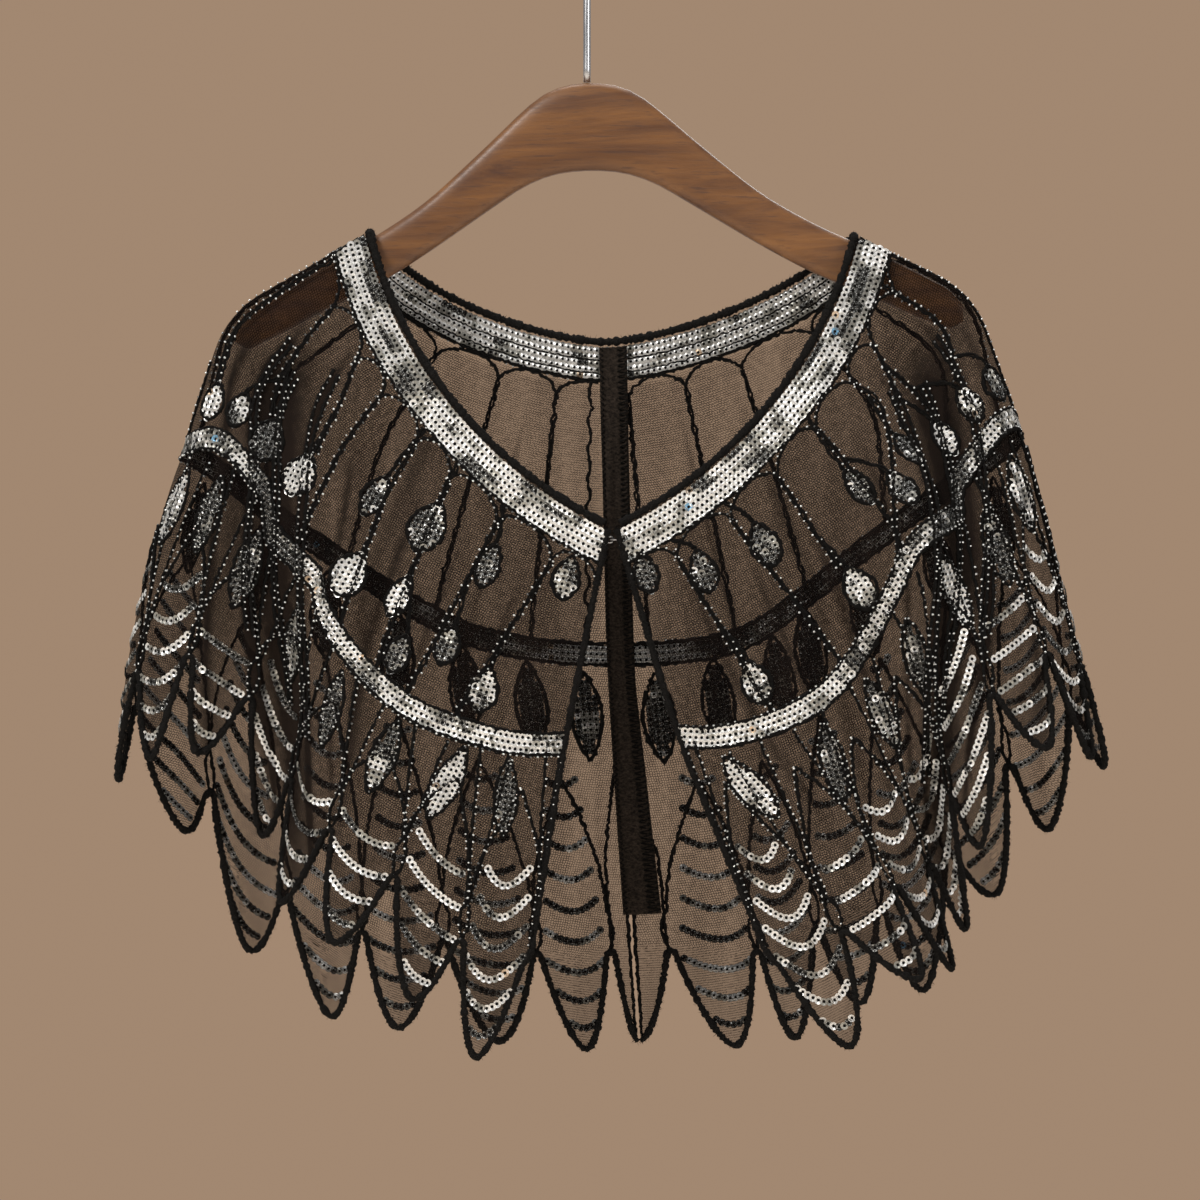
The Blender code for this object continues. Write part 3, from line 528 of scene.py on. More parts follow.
    def fold(self, ring: np.ndarray, along: np.ndarray) -> tuple[np.ndarray, np.ndarray]:
        """How far the folds press the net inwards, in millimetres, and how much darker they make it: thicker
        net, and painted shade on the yoke band's sequins.
        """
        fade_in, fade_out = 40.0, 90.0
        depth, dark = np.zeros(np.shape(ring)), np.zeros(np.shape(ring))
        for crease in CREASES[self.side.value]:
            middle = crease_middle(crease, along)
            reach = np.clip((along - crease.start) / fade_in, 0.0, 1.0)
            reach = reach * np.clip((crease.end - along) / fade_out, 0.0, 1.0)
            bell = np.exp(-((ring - middle) / crease.half) ** 2) * reach * reach * (3.0 - 2.0 * reach)
            depth = depth + crease.depth * bell
            dark = dark + crease.dark * bell
        return depth, dark

    def axes(self, ring: np.ndarray, along: np.ndarray) -> np.ndarray:
        """Three square directions on the cloth.

        Args:
            ring: ring values.
            along: millimetres from the neck edge.

        Returns:
            For each place the rows are: across towards rising ring values, down the cloth, and out of it.
        """
        ring = np.clip(ring, 0.03, CENTRE_BACK - 0.02)
        round_way = self.point(ring + 0.02, along) - self.point(ring - 0.02, along)
        down_way = unit(self.point(ring, along + 0.6) - self.point(ring, along - 0.6))
        out = unit(np.cross(down_way, round_way) * self.side.value)
        return np.stack([unit(np.cross(down_way, out) * -self.side.value), down_way, out], axis=-2)

    def step(self, ring: np.ndarray, along: np.ndarray) -> tuple[np.ndarray, np.ndarray]:
        """The steps in ring and in along that move one millimetre on the cloth, square to its fall."""
        round_way = (self.point(ring + 0.05, along) - self.point(ring - 0.05, along)) / MM / 0.1
        down_way = (self.point(ring, along + 1.0) - self.point(ring, along - 1.0)) / MM / 2.0
        slant = np.sum(round_way * down_way, axis=-1) / np.sum(down_way * down_way, axis=-1)
        width = np.linalg.norm(round_way - slant[..., None] * down_way, axis=-1)
        return 1.0 / width, -slant / width

    def hem_line(self) -> tuple[np.ndarray, np.ndarray]:
        """The middle line of the hem cord as ring and along, from the front edge to the centre back."""
        notches = np.arange(LAST_POINT + 1.0)
        _, _, tips = self.lengths(notches)
        ring_step, along_step = self.step(notches, tips - NOTCH_DEPTH)
        depth = NOTCH_DEPTH - CORD_RADIUS - CORD_TURN
        ring, along = [], []
        for number in range(LAST_POINT + 1):
            whole = number < LAST_POINT
            shares = np.linspace(-1.0, 1.0, 25) if whole else np.linspace(-1.0, -0.06, 9)
            middle = number + 0.5 if whole else CENTRE_BACK
            start = notches[number] + CORD_TURN * ring_step[number]
            end = number + 1.0 - CORD_TURN * ring_step[number + 1] if whole else CENTRE_BACK
            places = middle + shares * np.where(shares < 0, middle - start, end - middle)
            _, _, tip = self.lengths(places)
            levels = tip - CORD_RADIUS - depth * np.abs(shares) ** POINT_SHAPE
            levels[0] = tips[number] - NOTCH_DEPTH + CORD_TURN * (1.0 + along_step[number])
            if number == 0:
                places[0] = 0.0
            ring.append(places)
            along.append(levels)
            if whole:
                levels[-1] = tips[number + 1] - NOTCH_DEPTH + CORD_TURN * (1.0 - along_step[number + 1])
                turn = np.radians([-60.0, -30.0, 0.0, 30.0, 60.0])
                ring.append(number + 1.0 + CORD_TURN * np.sin(turn) * ring_step[number + 1])
                turned = 1.0 - np.cos(turn) + np.sin(turn) * along_step[number + 1]
                along.append(tips[number + 1] - NOTCH_DEPTH + CORD_TURN * turned)
        return np.concatenate(ring), np.concatenate(along)

    def local(
        self, ring: float, along: float, across: np.ndarray, down: np.ndarray
    ) -> tuple[np.ndarray, np.ndarray]:
        """Ring and along for a small flat drawing laid on the cloth.

        Args:
            ring: ring value of the drawing's middle.
            along: the same, millimetres from the neck.
            across: the drawing's points, millimetres across.
            down: the same, millimetres down the cloth.

        Returns:
            Ring and along values of the points.
        """
        ring_step, along_step = self.step(np.array([ring]), np.array([along]))
        return ring + across * ring_step[0], along + down + across * along_step[0]


# ------------------------------------------------------------------ meshes from arrays
class Gather:
    """Gathers the points, faces and per-point colours of many small shapes into one mesh; on the sequins that
    colour is partly painted reflection.
    """

    def __init__(self, name: str) -> None:
        """Starts an empty piece of that name."""
        self.name = name
        self.points: list[np.ndarray] = []
        self.faces: list[np.ndarray] = []
        self.dyes: list[np.ndarray] = []
        self.count = 0

    def add(self, points: np.ndarray, faces: np.ndarray, dye: np.ndarray = BLACK) -> None:
        """Adds one shape, or many at once.

        Args:
            points: places in metres.
            faces: indexes into points, the same number of corners on each.
            dye: red, green, blue and alpha, for every point or for all of them.
        """
        self.points.append(points.reshape(-1, 3))
        self.faces.append(faces + self.count)
        self.dyes.append(np.broadcast_to(dye, (len(self.points[-1]), 4)))
        self.count += len(self.points[-1])

    def add_tube(self, path: np.ndarray, out: np.ndarray, radius: object, sides: int) -> None:
        """Adds a round cord with closed ends.

        Args:
            path: places along it, in metres.
            out: a direction for each place that isn't along the cord.
            radius: in metres, one number or one for each place.
            sides: corners of its section.
        """
        ahead = unit(np.gradient(path, axis=0))
        side = unit(np.cross(out, ahead))
        other = np.cross(ahead, side)
        turn = np.arange(sides) * 2 * math.pi / sides
        ring = side[:, None] * np.cos(turn)[None, :, None] + other[:, None] * np.sin(turn)[None, :, None]
        points = path[:, None] + ring * np.broadcast_to(radius, len(path))[:, None, None]
        start = (np.arange(len(path) - 1) * sides)[:, None]
        here, there = np.arange(sides), (np.arange(sides) + 1) % sides
        quads = np.stack([start + here, start + there, start + there + sides, start + here + sides], axis=-1)
        caps = np.stack([np.arange(sides)[::-1], np.arange(sides) + (len(path) - 1) * sides])
        self.faces.append(caps + self.count)
        self.add(points, quads.reshape(-1, 4))

    def add_hairs(
        self, place: np.ndarray, luck: np.random.Generator, count: int, reach: tuple[float, float]
    ) -> None:
        """Adds loose hairs round a cord, each a thin three-cornered sliver.

        Args:
            place: places along the cord, in metres.
            luck: the piece's random numbers.
            count: how many hairs.
            reach: the shortest and the longest hair, in millimetres.
        """
        scatter, half_width = 0.35, 0.2
        root = place[luck.integers(0, len(place), count)] + luck.normal(0.0, scatter, (count, 3)) * MM
        way = unit(luck.normal(0.0, 1.0, (count, 3)))
        side = unit(np.cross(way, luck.normal(0.0, 1.0, (count, 3)))) * half_width * MM
        length = luck.uniform(*reach, (count, 1)) * MM
        points = np.stack([root - side, root + side, root + way * length], axis=1)
        self.add(points, np.arange(count * 3).reshape(-1, 3))

    def add_copies(self, shape: "Shape", places: np.ndarray, frames: np.ndarray, dye: np.ndarray) -> None:
        """Adds one copy of a small shape at each place.

        Args:
            shape: the shape to copy.
            places: where the copies go, in metres.
            frames: the three directions of each copy, already scaled.
            dye: red, green, blue and alpha of each copy.
        """
        points = places[:, None] + np.einsum("vk,nkc->nvc", shape.points, frames)
        faces = shape.faces[None] + (np.arange(len(places)) * len(shape.points))[:, None, None]
        colours = np.repeat(dye[:, None], len(shape.points), axis=1).reshape(-1, 4)
        self.add(points, faces.reshape(-1, shape.faces.shape[1]), colours)

    def make(self, material: bpy.types.Material, slot: str) -> bpy.types.Object:
        """The finished piece.

        Args:
            material: its finish.
            slot: the record's material slot; not used.

        Returns:
            The object, which rides on the root body.
        """
        mesh = bpy.data.meshes.new(self.name)
        points = np.concatenate(self.points).astype(np.float32)
        corners = np.concatenate([f.ravel() for f in self.faces]).astype(np.int32)
        sizes = np.concatenate([np.full(len(f), f.shape[1]) for f in self.faces])
        starts = np.concatenate([[0], np.cumsum(sizes)[:-1]]).astype(np.int32)
        mesh.vertices.add(len(points))
        mesh.vertices.foreach_set("co", points.ravel())
        mesh.loops.add(len(corners))
        mesh.loops.foreach_set("vertex_index", corners)
        mesh.polygons.add(len(sizes))
        mesh.polygons.foreach_set("loop_start", starts)
        mesh.update(calc_edges=True)
        dye = mesh.attributes.new("dye", "FLOAT_COLOR", "POINT")
        dye.data.foreach_set("color", np.concatenate(self.dyes).astype(np.float32).ravel())
        mesh.shade_smooth()
        mesh.materials.append(material)
        made = bpy.data.objects.new(self.name, mesh)
        bpy.context.scene.collection.objects.link(made)
        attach(made, "root")
        LOG.info("%s: %d faces", self.name, len(sizes))
        return made


@dataclass
class Shape:
    """A small shape that is copied many times."""

    points: np.ndarray
    faces: np.ndarray


def deselect() -> None:
    """Leaves object mode with nothing selected."""
    if bpy.context.mode != "OBJECT":
        bpy.ops.object.mode_set(mode="OBJECT")
    bpy.ops.object.select_all(action="DESELECT")


def take_shape() -> Shape:
    """Reads the active object's mesh as a shape of even faces, and removes the object."""
    deselect()
    made = bpy.context.object
    mesh = made.data
    points = np.array([v.co for v in mesh.vertices])
    faces = np.array([list(p.vertices) for p in mesh.polygons])
    bpy.data.objects.remove(made)
    bpy.data.meshes.remove(mesh)
    return Shape(points, faces)


def model_sequin(radius: float, hole: float, cup: float, sides: int) -> Shape:
    """A cupped disc with a hole in its middle.

    Args:
        radius: outer radius, in metres.
        hole: the hole's radius.
        cup: how far the hole's rim stands back from the edge.
        sides: corners round the disc.

    Returns:
        The shape, its hollow side towards +Z.
    """
    deselect()
    bpy.ops.mesh.primitive_circle_add(vertices=sides, radius=radius, fill_type="NGON")
    bpy.ops.object.mode_set(mode="EDIT")
    bpy.ops.mesh.inset(thickness=(radius - hole) * math.cos(math.pi / sides), depth=-cup)
    bpy.ops.mesh.delete(type="FACE")
    return take_shape()


def model_knot(radius: float) -> Shape:
    """The black stitch that fills a sequin's hole: a low open cone."""
    deselect()
    bpy.ops.mesh.primitive_cone_add(
        vertices=6, radius1=radius, radius2=0.0, depth=radius * 0.5, end_fill_type="NOTHING"
    )
    return take_shape()


def model_bead(radius: float) -> Shape:
    """A seed bead, flattened a little along its thread."""
    deselect()
    bpy.ops.mesh.primitive_ico_sphere_add(subdivisions=1, radius=radius)
    bpy.ops.object.mode_set(mode="EDIT")
    bpy.ops.transform.resize(value=(1.0, 0.8, 1.0))
    return take_shape()


# ------------------------------------------------------------------ finishes
class Board:
    """The node board of one material."""

    def __init__(self, name: str) -> None:
        """Starts a material with its Principled shader."""
        self.material = bpy.data.materials.new(name)
        self.material.use_nodes = True
        self.tree = self.material.node_tree
        self.shader = self.tree.nodes["Principled BSDF"]

    def node(self, kind: str, inputs: dict | None = None, **settings: object) -> bpy.types.Node:
        """Adds a node.

        Args:
            kind: its type, without the words ShaderNode.
            inputs: values or sockets for its inputs, by name or number.
            settings: its other settings.

        Returns:
            The node.
        """
        made = self.tree.nodes.new("ShaderNode" + kind)
        for name, value in settings.items():
            setattr(made, name, value)
        for name, value in (inputs or {}).items():
            self.put(value, made.inputs[name])
        return made

    def put(self, value: object, target: bpy.types.NodeSocket) -> None:
        """Sets a socket, or links another one to it."""
        if isinstance(value, bpy.types.NodeSocket):
            self.tree.links.new(value, target)
        else:
            target.default_value = value

    def set(self, **values: object) -> None:
        """Sets or links the shader's inputs, whose names are written with _ for a space."""
        for name, value in values.items():
            self.put(value, self.shader.inputs[name.replace("_", " ")])

    def math(self, operation: str, first: object, second: object = 0.0) -> bpy.types.NodeSocket:
        """The result of a Math node."""
        return self.node("Math", {0: first, 1: second}, operation=operation).outputs[0]

    def noise(
        self, where: object, scale: float, detail: float = 3.0, rough: float = 0.5
    ) -> bpy.types.NodeSocket:
        """The value of a Noise Texture."""
        sockets = {"Vector": where, "Scale": scale, "Detail": detail, "Roughness": rough}
        return self.node("TexNoise", sockets).outputs["Fac"]

    def ramp(self, value: object, low: float, high: float, start: float, end: float) -> bpy.types.NodeSocket:
        """A value brought from one range to another, and held there."""
        sockets = {0: value, 1: low, 2: high, 3: start, 4: end}
        return self.node("MapRange", sockets).outputs[0]

    def mix(self, share: object, first: object, second: object) -> bpy.types.NodeSocket:
        """A mix of two colours."""
        made = self.node("Mix", data_type="RGBA")
        for number, value in ((0, share), (6, first), (7, second)):
            self.put(value, made.inputs[number])
        return made.outputs[2]

    def place(
        self, scale: tuple[float, float, float] = (1.0, 1.0, 1.0), turn: float = 0.0
    ) -> bpy.types.NodeSocket:
        """Object coordinates, stretched and turned about Y."""
        where = self.node("TexCoord").outputs["Object"]
        return self.node("Mapping", {"Vector": where, "Scale": scale, "Rotation": (0, turn, 0)}).outputs[0]

    def bump(self, height: object, distance: float, strength: float = 1.0) -> None:
        """Gives the shader a bump of that height, in metres."""
        made = self.node("Bump", {"Height": height, "Distance": distance, "Strength": strength})
        self.set(Normal=made.outputs[0])


@dataclass(frozen=True)
class NetFinish:
    """Sheer net: fine threads round open cells, closer where a fold gathers it."""

    colour: tuple = (0.004, 0.0028, 0.0024, 1.0)
    worn: tuple = (0.011, 0.0075, 0.006, 1.0)
    cell: float = 0.00135
    thread: float = 0.12
    solid: float = 0.9
    open: float = 0.3
    gather: float = 2.4
    most: float = 0.96

    def make(self) -> bpy.types.Material:
        """The material, whose holes are clear."""
        board = Board("black_net")
        uv = board.node("UVMap", uv_map="cloth").outputs[0]
        sockets = {"Vector": uv, "Scale": 1.0 / self.cell, "Randomness": 0.45}
        cells = board.node("TexVoronoi", sockets, feature="DISTANCE_TO_EDGE", voronoi_dimensions="2D")
        edge = cells.outputs["Distance"]
        mesh = board.ramp(edge, self.thread * 0.6, self.thread * 1.5, self.solid, self.open)
        creases = board.noise(board.place((60.0, 40.0, 6.0)), 1.0, 4.0, 0.6)
        soft = board.ramp(creases, 0.25, 0.78, 0.75, 1.3)
        grain = board.ramp(board.noise(uv, 260.0, 2.0), 0.3, 0.7, 0.85, 1.15)
        dark = board.node("Attribute", attribute_name="dye").outputs["Fac"]
        gathered = board.math("ADD", board.math("MULTIPLY", dark, self.gather), 1.0)
        depth = board.math("MULTIPLY", board.math("MULTIPLY", soft, grain), gathered)
        # A lighter brown along the same streaks that make the net denser.
        shade = board.mix(board.ramp(creases, 0.35, 0.75, 0.0, 1.0), self.colour, self.worn)
        board.set(Base_Color=shade, Roughness=0.95, Specular_IOR_Level=0.03)
        board.set(Alpha=board.math("MINIMUM", board.math("MULTIPLY", mesh, depth), self.most))
        return board.material


@dataclass(frozen=True)
class SequinFinish:
    """Silvered plastic discs, some bright and some clear and dark; each disc's colour comes from its points
    and is partly painted reflection, with painted glints on the dark ones.
    """

    metal: float = 0.6
    rough: float = 0.26
    cracked: tuple = (0.05, 0.048, 0.044, 1.0)
    glint: tuple = (0.62, 0.62, 0.6, 1.0)

    def make(self) -> bpy.types.Material:
        """The material."""
        board = Board("silver_sequins")
        dye = board.node("Attribute", attribute_name="dye")
        film = board.noise(board.place(), 1100.0, 2.0)
        sockets = {"Vector": board.place(), "Scale": 900.0}
        cracks = board.node("TexVoronoi", sockets, feature="DISTANCE_TO_EDGE")
        crack = board.ramp(cracks.outputs["Distance"], 0.02, 0.09, 0.5, 0.0)
        clear = board.ramp(dye.outputs["Fac"], 0.08, 0.2, 1.0, 0.0)
        # Painted glints: bright flecks painted into the colour of the clear dark discs.
        painted_glints = board.ramp(board.noise(board.place(), 1500.0, 1.0), 0.58, 0.66, 0.0, 0.85)
        shade = board.mix(crack, dye.outputs["Color"], self.cracked)
        board.set(Base_Color=board.mix(board.math("MULTIPLY", clear, painted_glints), shade, self.glint))
        board.set(Metallic=self.metal, Roughness=board.ramp(film, 0.3, 0.7, self.rough, 0.5))
        board.set(Coat_Weight=0.1, Coat_Roughness=0.2, Specular_IOR_Level=0.3)
        return board.material


@dataclass(frozen=True)
class BeadFinish:
    """Small silver beads on the black lines."""

    metal: float = 0.7
    spot: tuple = (0.05, 0.05, 0.05, 1.0)

    def make(self) -> bpy.types.Material:
        """The material."""
        board = Board("seed_beads")
        dye = board.node("Attribute", attribute_name="dye").outputs["Color"]
        spots = board.noise(board.place(), 1400.0, 2.0)
        shade = board.mix(board.ramp(spots, 0.4, 0.65, 0.0, 0.5), dye, self.spot)
        board.set(Base_Color=shade, Metallic=self.metal, Roughness=board.ramp(spots, 0.3, 0.7, 0.2, 0.4))
        return board.material


@dataclass(frozen=True)
class ThreadFinish:
    """Black yarn, matt and twisted."""

    name: str
    dark: tuple = (0.0025, 0.0024, 0.0022, 1.0)
    light: tuple = (0.012, 0.0105, 0.0095, 1.0)
    twist: float = 900.0

    def make(self) -> bpy.types.Material:
        """The material."""
        board = Board(self.name)
        where = board.place((1.0, 1.0, 1.6), 0.6)
        fuzz = board.noise(where, self.twist, 4.0, 0.7)
        board.set(Base_Color=board.mix(board.ramp(fuzz, 0.35, 0.75, 0.0, 1.0), self.dark, self.light))
        board.set(Roughness=board.ramp(fuzz, 0.3, 0.8, 0.95, 0.75), Specular_IOR_Level=0.06)
        board.bump(fuzz, 0.0006)
        return board.material


@dataclass(frozen=True)
class WoodFinish:
    """Brown varnished wood, its grain along the arms."""

    dark: tuple = (0.065, 0.021, 0.005, 1.0)
    light: tuple = (0.19, 0.076, 0.017, 1.0)
    fleck: tuple = (0.04, 0.014, 0.006, 1.0)
    varnish: float = 0.18

    def make(self) -> bpy.types.Material:
        """The material."""
        board = Board("satin_wood")
        bend = board.math("MULTIPLY", board.noise(board.place((2.5, 8.0, 9.0)), 1.0, 2.0), 9.0)
        where = board.place((7.0, 90.0, 90.0))
        moved = board.node("VectorMath", {0: where, 1: bend}, operation="ADD").outputs[0]
        rings = board.noise(moved, 1.0, 5.0, 0.62)
        pores = board.noise(board.place((60.0, 900.0, 900.0)), 1.0, 3.0, 0.6)
        base = board.mix(board.ramp(rings, 0.32, 0.68, 0.0, 1.0), self.dark, self.light)
        flecks = board.ramp(pores, 0.56, 0.72, 0.0, 0.55)
        board.set(Base_Color=board.mix(flecks, base, self.fleck), Coat_Weight=self.varnish)
        board.set(Roughness=board.ramp(pores, 0.3, 0.7, 0.4, 0.55), Coat_Roughness=0.25)
        board.bump(board.math("ADD", rings, board.math("MULTIPLY", pores, 0.5)), 0.0002, 0.6)
        return board.material


@dataclass(frozen=True)
class WireFinish:
    """Plain bright steel wire, drawn along its length."""

    dark: tuple = (0.42, 0.42, 0.43, 1.0)
    light: tuple = (0.72, 0.72, 0.73, 1.0)

    def make(self) -> bpy.types.Material:
        """The material."""
        board = Board("brushed_wire")
        lines = board.noise(board.place((900.0, 900.0, 40.0)), 1.0, 3.0)
        board.set(Base_Color=board.mix(lines, self.dark, self.light), Metallic=1.0)
        board.set(Roughness=board.ramp(lines, 0.3, 0.7, 0.2, 0.38))
        board.bump(lines, 0.00005, 0.5)
        return board.material


@dataclass(frozen=True)
class Finishes:
    """Every material of the capelet and its hanger."""

    net: bpy.types.Material
    sequins: bpy.types.Material
    beads: bpy.types.Material
    thread: bpy.types.Material
    cord: bpy.types.Material
    seam: bpy.types.Material
    wood: bpy.types.Material
    wire: bpy.types.Material

    @staticmethod
    def make() -> "Finishes":
        """Makes each material once."""
        cord = ThreadFinish("black_cord", light=(0.018, 0.016, 0.0145, 1.0), twist=1300.0)
        seam = ThreadFinish("gathered_net", (0.006, 0.005, 0.004, 1.0), (0.045, 0.033, 0.025, 1.0), 500.0)
        return Finishes(
            net=NetFinish().make(),
            sequins=SequinFinish().make(),
            beads=BeadFinish().make(),
            thread=ThreadFinish("black_thread").make(),
            cord=cord.make(),
            seam=seam.make(),
            wood=WoodFinish().make(),
            wire=WireFinish().make(),
        )


# ------------------------------------------------------------------ the net
@dataclass
class NetShell:
    """The sheer net of one half, from the neck edge to the hem cord."""

    half: CapeHalf
    upper_rows: int = 52
    lower_rows: int = 16
    back_pale: float = 0.28

    def columns(self) -> tuple[np.ndarray, np.ndarray]:
        """Ring values of the grid's columns and the hem's level at each."""
        ring, along = self.half.hem_line()
        keep = np.concatenate([[True], np.diff(ring) > 1e-4])
        return ring[keep], along[keep]

    def build(self, material: bpy.types.Material) -> bpy.types.Object:
        """Makes the shell.

        Args:
            material: the net's finish.

        Returns:
            The object, with its cloth map.
        """
        ring, hem = self.columns()
        _, _, tips = self.half.lengths(ring)
        middle = tips - NOTCH_DEPTH - 3.0
        upper = np.linspace(0.0, 1.0, self.upper_rows)[:, None] * middle
        lower = middle + np.linspace(0.0, 1.0, self.lower_rows + 1)[1:, None] * (hem - middle)
        levels = np.concatenate([upper, lower])
        rings = np.broadcast_to(ring, levels.shape)
        points = self.half.point(rings, levels)
        steps = np.linalg.norm(np.diff(points, axis=1), axis=2)
        walk = np.concatenate([np.zeros((len(levels), 1)), np.cumsum(steps, axis=1)], axis=1)
        shoulder = int(np.argmin(np.abs(ring - SHOULDER)))
        uv = np.stack([walk - walk[:, shoulder:shoulder + 1], levels * MM], axis=-1).reshape(-1, 2)
        quads = grid_faces(*levels.shape)
        if self.half.side is Side.LEFT:
            quads = quads[:, ::-1]
        gather = Gather(f"net_{self.half.side.word}")
        _, dark = self.half.fold(rings, levels)
        dark = dark - self.back_pale * (rings > SHOULDER + 0.4) * (levels < NECK_BAND[1] + 1.0)
        gather.add(points, quads, np.repeat(dark.reshape(-1, 1), 4, axis=1))
        made = gather.make(material, "net")
        layer = made.data.uv_layers.new(name="cloth")
        layer.data.foreach_set("uv", uv[quads.ravel()].astype(np.float32).ravel())
        return made


# ------------------------------------------------------------------ needlework
@dataclass
class Needle:
    """Sews thread, beads and sequins to one half of the capelet."""

    half: CapeHalf
    sequin: Shape
    bead: Shape
    knot: Shape
    seed: int
    pitch: float = 3.2
    bead_pitch: float = 3.9
    thread_radius: float = 0.88
    twin: float = 0.75
    stitch: float = 1.5
    lift: float = 0.9
    beside: float = 0.85
    # Tones of the bright, dull and dark sequins: partly the discs' own silver and clear colour, partly painted
    # reflection, bright where a disc would face the light and dark where it would not.
    bright: tuple = (0.66, 0.95)
    dull: tuple = (0.2, 0.45)
    dark: tuple = (0.008, 0.04)

    def __post_init__(self) -> None:
        """Starts the pieces that the needle fills."""
        word = self.half.side.word
        self.threads = Gather(f"sewn_lines_{word}")
        self.beads = Gather(f"seed_beads_{word}")
        self.discs = Gather(f"sequins_{word}")
        self.luck = np.random.default_rng(self.seed)

    def walk(
        self, ring: np.ndarray, along: np.ndarray, step: float, start: float = 0.0
    ) -> tuple[np.ndarray, np.ndarray]:
        """Even steps along a line on the cloth.

        Args:
            ring: ring values of the line's points.
            along: millimetres from the neck.
            step: length of a step, in millimetres.
            start: where the first step lies.

        Returns:
            Ring and along of each step.
        """
        travel = travelled(self.half.point(ring, along))
        count = max(2, int(round((travel[-1] - start) / step)) + 1)
        at = np.linspace(start, travel[-1], count)
        return np.interp(at, travel, ring), np.interp(at, travel, along)

    def line(self, ring: np.ndarray, along: np.ndarray, beads: bool = True, radius: float = 1.0) -> None:
        """Sews a black line, with small beads on its outer side.

        Args:
            ring: ring values of the line's points.
            along: millimetres from the neck.
            beads: whether it carries beads.
            radius: how thick it is, as a share of the usual thread.
        """
        r, a = self.walk(ring, along, self.stitch)
        frames = self.half.axes(r, a)
        wobble = self.luck.normal(0.0, 0.3, (len(r), 2)) * MM
        place = self.half.point(r, a) + frames[:, 0] * wobble[:, :1] + frames[:, 1] * wobble[:, 1:]
        thick = self.thread_radius * radius * (1.0 + self.luck.uniform(-0.3, 0.4, len(r))) * MM
        path = place + frames[:, 2] * 0.4 * MM
        self.threads.add_tube(path, frames[:, 2], thick, 4)
        self.threads.add_hairs(path, self.luck, len(r), (1.0, 2.0))
        if beads:
            r, a = self.walk(ring, along, self.bead_pitch, 0.8)
            self.sew_beads(r, a, self.beside)

    def braid(self, ring: np.ndarray, along: np.ndarray, beads: bool = True) -> None:
        """Sews two black lines that wind along each other, with beads on their outer sides.

        Args:
            ring: ring values of the braid's points.
            along: millimetres from the neck.
            beads: whether it carries beads.
        """
        r, a = self.walk(ring, along, self.stitch)
        across, slant = self.half.step(r, a)
        for part in (-1.0, 1.0):
            spread = part * self.twin * (0.8 + 0.4 * np.sin(np.arange(len(r)) * 0.9 + part))
            self.line(r + across * spread, a + slant * spread, False, 0.85)
            if beads:
                rb, ab = self.walk(ring, along, self.bead_pitch * 1.15, 1.0 + part)
                self.sew_beads(rb, ab, part * (self.twin + self.beside))

    def sew_beads(self, ring: np.ndarray, along: np.ndarray, aside: float) -> None:
        """Sews beads beside a line, that many millimetres to its side, a few of them missing or dull."""
        frames = self.half.axes(ring, along)
        place = self.half.point(ring, along)
        way = unit(np.cross(frames[:, 2], np.gradient(place, axis=0)))
        place += frames[:, 2] * self.lift * MM + way * (self.luck.normal(aside, 0.2, (len(ring), 1)) * MM)
        keep = self.luck.random(len(ring)) > 0.12
        place, down, out = place[keep], frames[keep, 1], frames[keep, 2]
        count = len(place)
        right_handed = np.stack([np.cross(down, out), down, out], axis=1)
        size = self.luck.uniform(0.75, 1.1, (count, 1, 1))
        tone = np.where(self.luck.random(count) < 0.75, self.luck.uniform(0.75, 1.0, count), 0.15)
        dye = np.stack([tone, tone, tone * 0.97, np.ones(count)], axis=1)
        self.beads.add_copies(self.bead, place, right_handed * size, dye)

    def sew_sequins(self, ring: np.ndarray, along: np.ndarray, share: object) -> None:
        """Sews sequins at these places.

        Args:
            ring: ring values.
            along: millimetres from the neck.
            share: how many are bright, from 0 to 1, one number or one for each; the bright ones are partly
                painted reflection.
        """
        count = len(ring)
        frames = self.half.axes(ring, along)
        tilt = self.luck.normal(0.0, 0.045, (count, 2))
        tilt[:, 0] += 0.07 * ripple(ring * 2.3, along / 16.0, self.seed + 1.0)
        tilt[:, 1] += 0.14
        out = unit(frames[:, 2] + frames[:, 0] * tilt[:, :1] + frames[:, 1] * tilt[:, 1:])
        side = unit(np.cross(frames[:, 1], out))
        down = np.cross(out, side)
        lift = self.lift + self.luck.uniform(-0.15, 0.15, (count, 1))
        place = self.half.point(ring, along) + frames[:, 2] * lift * MM
        turned = np.stack([side, down, out], axis=1) * self.luck.uniform(0.94, 1.04, (count, 1, 1))
        # Patches of bright, dull and dark discs: partly the discs' own mix of silver and clear, partly painted
        # reflection for how each run would face the light.
        silver_and_glare = ripple(ring * 1.7, along / 13.0, self.seed)
        silver_and_glare = silver_and_glare + ripple(ring * 2.6, along * 0.9, self.seed + 3.0) * 1.1
        silver_and_glare += self.luck.normal(0.0, 0.12, count) + (np.asarray(share) - 0.5) * 3.6
        tones = [self.luck.uniform(*reach, count) for reach in (self.bright, self.dull, self.dark)]
        tone = np.select([silver_and_glare > 0.35, silver_and_glare > -0.35], tones[:2], tones[2])
        colour = tone[:, None] * np.where(silver_and_glare[:, None] > 0.35, (1.0, 0.985, 0.95), (1.0, 0.97, 0.87))
        warm = self.luck.random(count) < 0.006
        colour[warm] = tone[warm, None] * np.array([1.0, 0.75, 0.52])
